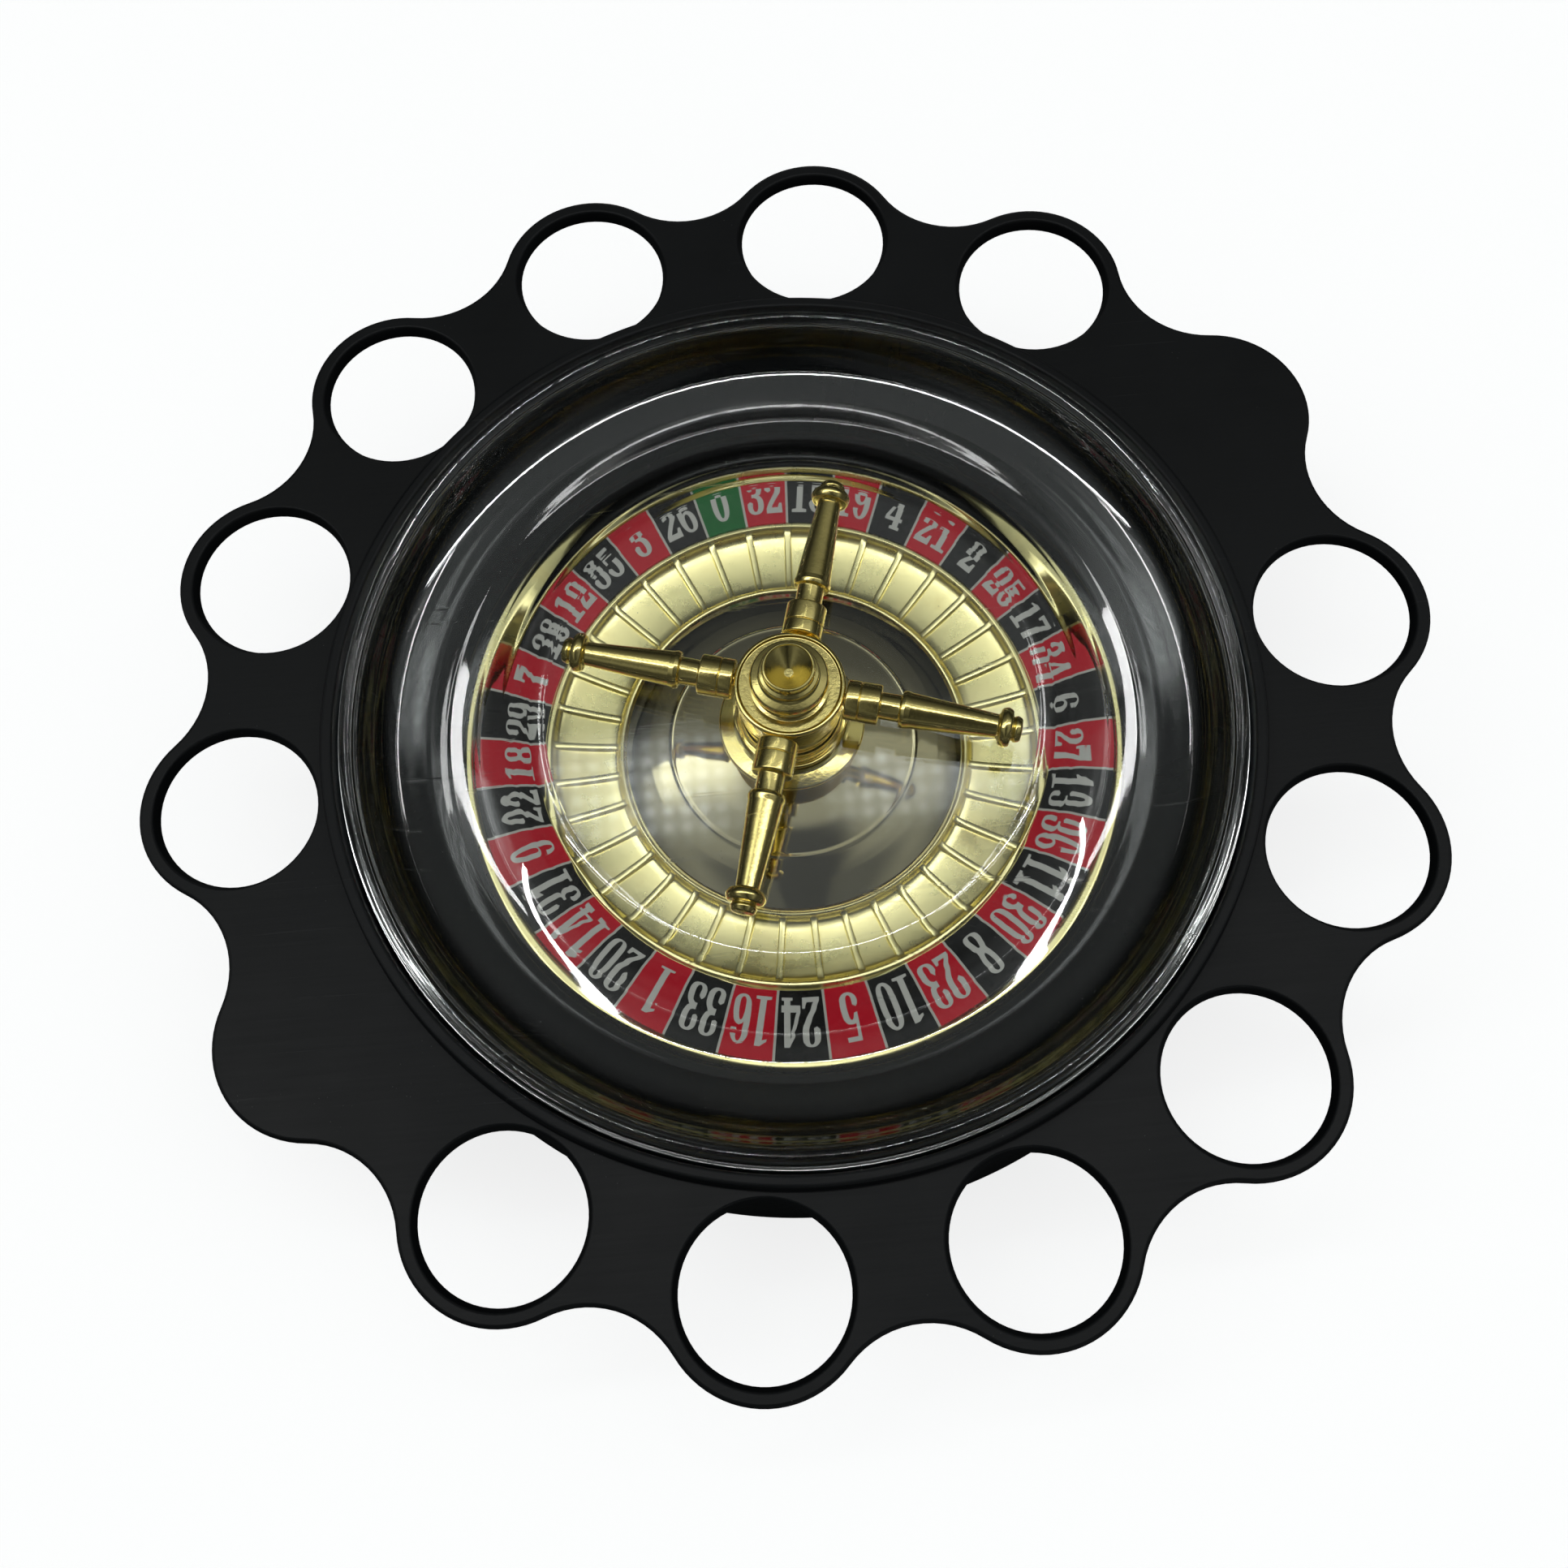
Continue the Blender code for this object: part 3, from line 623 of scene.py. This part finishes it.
def build_number_ring(red, black, green, line):
    bm = bmesh.new()
    cell_steps, line_half = 10, 0.28
    radii = [RING_INNER, RING_INNER + 0.45, 61.0, 65.5, RING_OUTER - 0.45, RING_OUTER]
    rings = [RING_INNER] + radii + [RING_OUTER]
    rows = [[] for _ in rings]
    for k in range(POCKETS):
        middle = ZERO_ANGLE - k * POCKET_PITCH
        for j in range(cell_steps + 1):
            for row, radius in enumerate(rings):
                edge = POCKET_PITCH / 2.0 - line_half / radius
                angle = middle + edge - 2.0 * edge * j / cell_steps
                drop = RING_THICK if row in (0, len(rings) - 1) else 0.0
                rows[row].append(bm.verts.new((*polar(radius, angle), ring_height(radius) - drop)))
    count = len(rows[0])
    per_cell = cell_steps + 1
    for row in range(len(rows)):
        above, below = rows[row], rows[(row + 1) % len(rows)]
        for c in range(count):
            n = (c + 1) % count
            face = bm.faces.new((above[c], above[n], below[n], below[c]))
            cell, step = divmod(c, per_cell)
            shade = 2 if NUMBERS[cell] == 0 else (0 if cell % 2 else 1)
            face.material_index = 3 if step == cell_steps else shade
    return piece("number_band", bm, [red, black, green, line], "wheel", ["number_ring"])


def arc(cx, cy, rx, ry, start, end, steps=14, power=2.3):
    points = []
    for k in range(steps + 1):
        a = math.radians(start + (end - start) * k / steps)
        c, s = math.cos(a), math.sin(a)
        points.append((cx + rx * math.copysign(abs(c) ** (2 / power), c),
                       cy + ry * math.copysign(abs(s) ** (2 / power), s)))
    return points


def loop_of(cx, cy, rx, ry):
    return arc(cx, cy, rx, ry, 0, 360 - 12, 29)


def glyphs():
    """Closed outlines of the ten digits, one unit high, in a bold slab-serif style."""
    six = [arc(0.25, 0.5, 0.25, 0.5, 22, 268, 26) + arc(0.25, 0.31, 0.25, 0.31, -88, 84, 18)
           + [(0.20, 0.585), (0.165, 0.545)] + arc(0.26, 0.5, 0.095, 0.43, 165, 40, 10)
           + [(0.335, 0.71)],
           loop_of(0.258, 0.30, 0.085, 0.225)]
    nine = [[(0.5 - x, 1.0 - y) for x, y in contour] for contour in six]
    return {
        "0": [loop_of(0.25, 0.5, 0.25, 0.5), loop_of(0.25, 0.5, 0.085, 0.41)],
        "1": [[(0.04, 0.0), (0.47, 0.0), (0.47, 0.08), (0.345, 0.1), (0.345, 1.0), (0.20, 1.0),
               (0.04, 0.86), (0.04, 0.78), (0.165, 0.82), (0.165, 0.1), (0.04, 0.08)]],
        "2": [arc(0.25, 0.71, 0.24, 0.29, 190, -30, 18)
              + [(0.33, 0.39), (0.22, 0.24), (0.17, 0.15), (0.36, 0.15), (0.41, 0.27), (0.485, 0.27),
                 (0.485, 0.0), (0.015, 0.0), (0.015, 0.13), (0.08, 0.26), (0.20, 0.43), (0.29, 0.56)]
              + arc(0.245, 0.72, 0.075, 0.21, -25, 175, 12) + [(0.19, 0.62), (0.10, 0.58)]],
        "3": [arc(0.245, 0.74, 0.225, 0.26, 188, -48, 18) + [(0.36, 0.525)]
              + arc(0.25, 0.27, 0.245, 0.27, 58, -188, 22) + [(0.09, 0.37), (0.17, 0.33)]
              + arc(0.24, 0.27, 0.085, 0.19, -160, 62, 14) + [(0.22, 0.475), (0.15, 0.475),
                                                            (0.15, 0.565), (0.22, 0.565)]
              + arc(0.235, 0.74, 0.075, 0.18, -58, 165, 12) + [(0.17, 0.67), (0.09, 0.64)]],
        "4": [[(0.20, 0.0), (0.50, 0.0), (0.50, 0.08), (0.435, 0.09), (0.435, 0.23), (0.51, 0.23),
               (0.51, 0.33), (0.435, 0.33), (0.435, 1.0), (0.29, 1.0), (-0.01, 0.34), (-0.01, 0.23),
               (0.265, 0.23), (0.265, 0.09), (0.20, 0.08)],
              [(0.265, 0.33), (0.095, 0.33), (0.265, 0.74)]],
        "5": [[(0.07, 1.0), (0.45, 1.0), (0.45, 0.86), (0.16, 0.86), (0.145, 0.62)]
              + arc(0.245, 0.325, 0.25, 0.325, 108, -172, 20) + [(0.06, 0.34), (0.15, 0.30)]
              + arc(0.235, 0.32, 0.085, 0.235, -150, 130, 16) + [(0.15, 0.46), (0.06, 0.45)]],
        "6": six,
        "7": [[(0.015, 1.0), (0.49, 1.0), (0.49, 0.88), (0.36, 0.5), (0.30, 0.0), (0.10, 0.0),
               (0.17, 0.42), (0.33, 0.84), (0.11, 0.84), (0.09, 0.70), (0.015, 0.70)]],
        "8": [arc(0.25, 0.27, 0.25, 0.27, -90, 52, 14) + arc(0.25, 0.745, 0.22, 0.255, -42, 222, 20)
              + arc(0.25, 0.27, 0.25, 0.27, 128, 268, 14),
              loop_of(0.25, 0.755, 0.075, 0.165), loop_of(0.25, 0.27, 0.085, 0.18)],
        "9": nine,
    }


def build_digits(mat):
    """Flat printed digits laid on the cone of the number band, tops outward."""
    height, gap, narrow, middle = 8.3, 0.05, 0.96, 63.9
    shapes = glyphs()
    merged = bmesh.new()
    for k, number in enumerate(NUMBERS):
        text = str(number)
        width = len(text) * 0.5 + (len(text) - 1) * gap
        curve = bpy.data.curves.new("digit_outline", "CURVE")
        curve.dimensions = "2D"
        curve.fill_mode = "BOTH"
        curve.extrude = 0.02
        for place, digit in enumerate(text):
            shift = place * (0.5 + gap) - width / 2.0
            for contour in shapes[digit]:
                path = curve.splines.new("POLY")
                path.points.add(len(contour) - 1)
                for point, (x, y) in zip(path.points, contour):
                    point.co = ((x + shift) * height * narrow, (y - 0.5) * height, 0.0, 1.0)
                path.use_cyclic_u = True
        obj = bpy.data.objects.new("digit_outline", curve)
        bpy.context.scene.collection.objects.link(obj)
        graph = bpy.context.evaluated_depsgraph_get()
        mesh = bpy.data.meshes.new_from_object(obj.evaluated_get(graph))
        part = bmesh.new()
        part.from_mesh(mesh)
        bmesh.ops.remove_doubles(part, verts=part.verts, dist=1e-5)
        angle = ZERO_ANGLE - k * POCKET_PITCH
        for vert in part.verts:
            radius = middle + vert.co.y
            x, y = polar(radius, angle - vert.co.x / radius)
            vert.co = (x, y, ring_height(radius) + 0.035 + vert.co.z)
        part.to_mesh(mesh)
        part.free()
        merged.from_mesh(mesh)
        bpy.data.objects.remove(obj)
        bpy.data.curves.remove(curve)
        bpy.data.meshes.remove(mesh)
    return piece("number_digits", merged, [mat], "wheel", [], 30.0)


def build_dome(mat):
    top = spline([(6.3, -18.1), (13.0, -18.45), (20.0, -19.45), (24.0, -20.25), (27.1, -21.0)])
    ridge = [(27.35, -20.98), (27.6, -20.95), (27.85, -21.05), (28.05, -21.3)]
    skirt = spline([(28.3, -21.42), (30.6, -22.1), (32.9, -22.9)])
    edge = spline([(33.1, -23.0), (35.0, -23.88), (36.8, -24.82), (38.3, -25.7)])
    under = [(38.4, -26.0), (38.4, -28.4), (37.4, -28.4), (36.2, -26.6), (32.0, -24.6),
             (22.0, -21.8), (6.3, -19.6)]
    return turned("mirror_dome", top + ridge + skirt + edge + under, STEPS_LARGE, mat, "wheel",
                  "centre_dome")


# --- turret ---------------------------------------------------------------

def build_turret(mat, steel):
    collar = rounded([
        (6.3, -17.3), (9.5, -17.3, 0.3), (10.2, -13.2, 1.5), (12.6, -11.0, 1.2), (16.0, -10.5, 0.5),
        (16.0, -8.9, 0.6), (12.8, -8.3, 0.3), (12.0, -7.9, 0.3), (11.9, -6.5, 0.5), (2.3, -6.5),
        (2.3, -9.6), (6.3, -9.6)])
    parts = [turned("turret_flange", collar, STEPS_TURRET, mat, "wheel", "turret_collar")]
    barrel = rounded([
        (2.3, -6.3), (11.2, -6.3, 0.5), (11.2, -4.7, 0.5), (10.4, -4.2, 0.4), (10.3, -2.7, 0.4),
        (10.9, -2.2, 0.4), (10.9, -1.1, 0.4), (10.3, -0.7, 0.4), (10.3, 1.6, 0.4), (10.9, 2.0, 0.4),
        (10.9, 3.0, 0.4), (10.4, 3.4, 0.4), (10.4, 4.3, 0.3), (11.0, 4.7, 0.3), (11.0, 5.4, 0.3),
        (2.3, 5.4)])
    parts.append(turned("ribbed_barrel", barrel, STEPS_TURRET, mat, "wheel", "turret_barrel"))
    hub = rounded([
        (2.3, 5.6), (11.3, 5.6, 0.4), (11.3, 12.1, 0.2), (11.65, 12.4, 0.2), (11.65, 13.5, 0.5),
        (10.9, 13.7, 0.3), (10.6, 13.2, 0.3), (8.2, 13.2, 0.3), (7.6, 13.4, 0.1), (2.3, 13.4)])
    parts.append(turned("turret_head", hub, STEPS_TURRET, mat, "wheel", "turret_hub"))
    arm = rounded([
        (0.0, 7.0), (1.4, 7.0, 0.3), (1.4, 11.9), (4.3, 11.9, 0.45), (4.3, 14.65, 0.3),
        (4.0, 14.8, 0.1), (4.3, 14.95, 0.3), (4.3, 19.1, 0.5), (2.85, 19.3, 0.2), (2.9, 23.3, 0.3),
        (3.8, 23.5, 0.3), (4.05, 24.3, 0.4), (3.8, 25.4, 0.6), (2.5, 43.6, 0.2), (2.9, 43.9, 0.1),
        (3.8, 44.1, 0.8), (4.3, 45.3, 1.2), (3.8, 46.5, 0.8), (2.4, 46.7, 0.2), (2.85, 47.5, 0.5),
        (2.4, 48.6, 0.6), (0.0, 48.9)], closed=False, steps=6)
    for k in range(4):
        bm = bmesh.new()
        revolve(bm, arm, STEPS_ARM)
        turn = Matrix.Rotation(ARM_PHASE + k * math.pi / 2.0, 4, "Z")
        lay = Matrix.Rotation(math.pi / 2.0, 4, "Y")
        lift = Matrix.Translation((0.0, 0.0, ARM_HEIGHT))
        bmesh.ops.transform(bm, matrix=lift @ turn @ lay, verts=bm.verts)
        parts.append(piece(f"arm_{k + 1}", bm, [mat], "wheel", [f"turret_arm_{k + 1}"]))
    knob = rounded([
        (0.0, 19.5), (0.95, 19.5), (4.75, 22.7, 0.1), (4.9, 23.0, 0.2), (5.4, 22.9, 0.3),
        (5.55, 21.9, 0.4), (5.2, 21.1, 0.3), (5.4, 20.6, 0.2), (6.2, 20.4, 0.3), (6.3, 19.5, 0.4),
        (5.9, 18.9, 0.3), (6.4, 18.3, 0.3), (7.9, 18.0, 0.5), (8.3, 16.8, 0.6), (7.6, 15.9, 0.4),
        (6.9, 15.3, 0.5), (6.9, 14.3, 0.5), (7.5, 13.6), (2.3, 13.6), (2.3, 17.8), (0.0, 17.8)],
        closed=False, steps=5)
    parts.append(turned("dimpled_knob", knob, STEPS_TURRET, mat, "wheel", "turret_knob"))
    stud = rounded([(0.0, -16.0), (2.0, -16.0, 0.3), (2.0, 17.3, 0.3), (0.0, 17.3)], closed=False)
    turned("stud", stud, STEPS_ARM, steel, "wheel", "turret_stud")
    return parts


def build_bearing(steel, brass, nylon):
    spindle = rounded([(0.0, -38.2), (2.9, -38.2, 0.4), (2.9, -31.5), (5.5, -31.5, 0.1),
                       (5.5, -30.7, 0.1), (3.0, -30.7), (3.0, -17.4, 0.4), (0.0, -17.4)],
                      closed=False)
    turned("spindle_pin", spindle, STEPS_ARM, steel, "base", "spindle")
    for name, node, profile, mat, body, slot in (
        ("slip_washer", "thrust_washer", [(3.3, -30.6), (6.6, -30.6, 0.1), (6.6, -29.8, 0.1),
                                          (3.3, -29.8)], nylon, "base", "nylon"),
        ("bearing_sleeve", "rotor_bushing", [(3.05, -29.5), (4.2, -29.5, 0.1), (4.2, -18.2, 0.1),
                                             (3.05, -18.2)], brass, "wheel", "brass"),
        ("pin_washer", "spindle_washer", [(3.2, -34.8), (6.2, -34.8, 0.1), (6.2, -34.2, 0.1),
                                          (3.2, -34.2)], steel, "base", "steel"),
    ):
        turned(name, rounded(profile), STEPS_ARM, mat, body, node)


# --- stage ----------------------------------------------------------------

LED_PITCH = 262.0
FLOOR_SIDE = 8.0
LAMP_HEIGHT = 1.35
CAMERA_PLACE = (-0.0029116, -0.1225022, 0.3633233)
CAMERA_TILT = math.radians(18.259)
CAMERA_ROLL = math.radians(-4.966)
CAMERA_LENS = 36.535


def card(name, size, place, mat):
    bm = bmesh.new()
    bmesh.ops.create_grid(bm, x_segments=1, y_segments=1, size=0.5)
    bmesh.ops.scale(bm, vec=(size[0], size[1], 1.0), verts=bm.verts)
    mesh = bpy.data.meshes.new(name)
    bm.to_mesh(mesh)
    bm.free()
    mesh.materials.append(mat)
    obj = bpy.data.objects.new(name, mesh)
    obj.location = place
    bpy.context.scene.collection.objects.link(obj)
    return obj


def area_light(name, size, place, aim, radiance, colour=(1.0, 1.0, 1.0)):
    """A rectangular lamp; radiance is what it looks like in a mirror."""
    lamp = bpy.data.lights.new(name, "AREA")
    lamp.shape = "RECTANGLE"
    lamp.size, lamp.size_y = size
    lamp.energy = radiance * math.pi * size[0] * size[1]
    lamp.color = colour
    obj = bpy.data.objects.new(name, lamp)
    obj.location = place
    obj.rotation_euler = (Vector(aim) - Vector(place)).to_track_quat("-Z", "Y").to_euler()
    bpy.context.scene.collection.objects.link(obj)
    return obj


def link_light(lamp, objects, state):
    """Makes a lamp light only these objects, or all but these."""
    group = bpy.data.collections.new(lamp.name)
    for obj in objects:
        group.objects.link(obj)
    for member in group.collection_objects:
        member.light_linking.link_state = state
    lamp.light_linking.receiver_collection = group


def studio_light():
    """Soft surroundings: a pale panel overhead with a straight edge, dim walls below."""
    n = Nodes("studio", world=True)
    parts = n.add("ShaderNodeSeparateXYZ")
    n.tree.links.new(n.coords, parts.inputs[0])
    side, depth, up = parts.outputs
    height = n.math("MAXIMUM", up, 0.02)
    sideways = n.math("DIVIDE", side, height)
    across = n.math("ABSOLUTE", sideways)
    along = n.math("DIVIDE", depth, height)
    panel = n.math("MULTIPLY", n.ramp(along, 0.365, 0.385, 1.0, 0.0), n.ramp(across, 1.0, 1.9, 1.0, 0.0))
    panel = n.math("MULTIPLY", panel, n.ramp(along, -0.4, 0.3, 0.25, 1.0))
    window = n.math("MULTIPLY", n.ramp(sideways, -1.1, -0.75), n.ramp(sideways, -0.32, -0.16, 1.0, 0.0))
    window = n.math("MULTIPLY", window, n.ramp(along, 0.0, 0.3))
    wall = n.ramp(up, 0.30, 0.75, 0.05, 0.20)
    wall = n.math("MULTIPLY", wall, n.ramp(along, 0.5, 0.9, 1.0, 0.45))
    bright = n.math("ADD", 0.26, n.math("MULTIPLY", window, 1.3))
    light = n.math("ADD", wall, n.math("MULTIPLY", panel, bright))
    gap = n.math("MULTIPLY", n.ramp(across, 0.16, 0.34, 1.0, 0.0),
                 n.math("MULTIPLY", n.ramp(along, -0.15, 0.0, 1.0, 0.0), n.ramp(along, -4.5, -3.0)))
    behind = n.math("MULTIPLY", n.ramp(across, 0.5, 1.0, 1.0, 0.0),
                    n.math("MULTIPLY", n.ramp(along, -0.5, -0.2, 1.0, 0.0), n.ramp(along, -4.5, -3.0)))
    gap = n.math("MAXIMUM", gap, n.math("MULTIPLY", behind, 0.75))
    light = n.math("MULTIPLY", light, n.math("SUBTRACT", 1.0, n.math("MULTIPLY", gap, 0.88)))
    waves = n.math("MULTIPLY", n.math("SINE", n.math("MULTIPLY", sideways, LED_PITCH)),
                   n.math("SINE", n.math("MULTIPLY", along, LED_PITCH)))
    patch = n.math("MULTIPLY", n.ramp(n.math("ABSOLUTE", n.math("SUBTRACT", across, 0.125)),
                                      0.06, 0.11, 1.0, 0.0),
                   n.ramp(n.math("ABSOLUTE", n.math("SUBTRACT", along, 0.335)), 0.02, 0.045, 1.0, 0.0))
    dots = n.ramp(n.math("ABSOLUTE", waves), 0.35, 0.9, 0.8, 5.0)
    light = n.math("ADD", light, n.math("MULTIPLY", patch, dots))
    backdrop = n.ramp(up, 0.0, 0.35, 1.0, 0.80)
    seen = n.add("ShaderNodeLightPath").outputs["Is Camera Ray"]
    light = n.math("ADD", n.math("MULTIPLY", light, n.math("SUBTRACT", 1.0, seen)),
                   n.math("MULTIPLY", backdrop, seen))
    glow = n.add("ShaderNodeBackground")
    glow.inputs["Color"].default_value = (0.94, 1.0, 0.99, 1.0)
    n.tree.links.new(light, glow.inputs["Strength"])
    return n.finish(glow.outputs[0])


def build_stage(tray, cover, dome, turret, printed):
    scene = bpy.context.scene
    n = Nodes("pale_floor")
    path = n.add("ShaderNodeLightPath")
    grain = n.ramp(n.noise(3.0), 0.3, 0.7)
    seen = n.mix(grain, (0.85, 0.85, 0.85), (0.87, 0.87, 0.87))
    # painted dark reflection: glossy rays see the floor as near-black (0.10) instead of pale, so it
    # shows dark in every reflection
    tone = n.mix(path.outputs["Is Glossy Ray"], seen, (0.10, 0.10, 0.10))
    diffuse = n.principled(Base_Color=tone, Roughness=0.9)
    glow = n.add("ShaderNodeEmission")
    n.tree.links.new(n.math("MULTIPLY", path.outputs["Is Camera Ray"], 0.80),
                     glow.inputs["Strength"])
    total = n.add("ShaderNodeAddShader")
    n.tree.links.new(diffuse, total.inputs[0])
    n.tree.links.new(glow.outputs[0], total.inputs[1])
    card("floor", (FLOOR_SIDE, FLOOR_SIDE), (0.0, 0.0, -0.0002), n.finish(total.outputs[0]))

    scene.world = studio_light()
    for name, place in (("side_front", (0.5, -1.6, 0.35)), ("side_left", (-1.6, 0.3, 0.35)),
                        ("side_back", (0.2, 1.6, 0.35)), ("side_right", (1.6, 0.2, 0.35))):
        lamp = area_light(name, (1.2, 0.3), place, (0.0, 0.0, 0.02), 1.6)
        link_light(lamp, [tray], "INCLUDE")
    for name, size, (x, y), radiance, lit in (
        ("tube", (2.6, 0.045), (0.0, 0.0), 60.0, [cover]),
        ("lamp_left", (0.07, 0.62), (-0.66, 0.40), 20.0, [cover]),
        ("lamp_right", (0.07, 0.62), (0.66, 0.40), 20.0, [cover]),
        ("tube_turret", (3.0, 0.14), (0.0, 0.0), 4.5, turret[:-1]),
        ("tube_print", (1.2, 1.2), (0.0, 0.0), 1.5, printed),
    ):
        lamp = area_light(name, size, (x, y, LAMP_HEIGHT), (x, y, 0.0), radiance)
        lamp.visible_diffuse = lit is printed
        link_light(lamp, lit, "INCLUDE")
    soft = area_light("tube_soft", (3.0, 0.30), (0.0, 0.0, LAMP_HEIGHT), (0.0, 0.0, 0.0), 3.5)
    soft.visible_diffuse = False
    link_light(soft, [cover, dome] + turret, "EXCLUDE")

    data = bpy.data.cameras.new("camera")
    data.sensor_width = 36.0
    data.lens = CAMERA_LENS
    data.clip_start, data.clip_end = 0.01, 50.0
    camera = bpy.data.objects.new("camera", data)
    camera.matrix_world = (Matrix.Translation(CAMERA_PLACE) @ Matrix.Rotation(CAMERA_TILT, 4, "X")
                           @ Matrix.Rotation(CAMERA_ROLL, 4, "Z"))
    scene.collection.objects.link(camera)
    scene.camera = camera
    scene.view_settings.view_transform = "Standard"
    scene.cycles.max_bounces = 16
    scene.cycles.transmission_bounces = 12
    scene.cycles.glossy_bounces = 8
    scene.cycles.transparent_max_bounces = 12


def main():
    black = satin_black()
    gloss = gloss_black()
    gold_cast = gold("gold_plate", 0.30, (0.90, 0.82, 0.41), 0.05)
    gold_bright = gold("gold_turned", 0.17, (0.88, 0.73, 0.27), 0.16)
    steel = plain("steel", (0.55, 0.55, 0.56), 0.3, 1.0)
    brass = plain("brass", (0.72, 0.55, 0.25), 0.28, 1.0)
    nylon = plain("nylon", (0.80, 0.79, 0.75), 0.45)
    rubber = plain("black_rubber", (0.02, 0.02, 0.02), 0.8)
    tray = build_tray(black)
    build_bowl(gloss)
    build_base_plate(black)
    build_fasteners(steel, rubber)
    cover = build_cover(clear_plastic(), clear_edge())
    build_rotor(gold_cast)
    band = build_number_ring(ink("ink_red", (0.58, 0.010, 0.026), (0.55, 0.08, 0.09)),
                             ink("ink_black", (0.010, 0.010, 0.010), (0.05, 0.05, 0.05)),
                             ink("ink_green", (0.004, 0.15, 0.028), (0.06, 0.30, 0.10)),
                             ink("ink_line", (0.55, 0.54, 0.50), (0.40, 0.39, 0.35)))
    digits = build_digits(ink("ink_digit", (0.60, 0.60, 0.57), (0.42, 0.41, 0.38)))
    dome = build_dome(champagne_mirror())
    turret = build_turret(gold_bright, steel)
    build_bearing(steel, brass, nylon)
    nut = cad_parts["spindle_nut"]
    nut.data.materials.clear()
    nut.data.materials.append(steel)
    build_stage(tray, cover, dome, turret, [band, digits])


main()
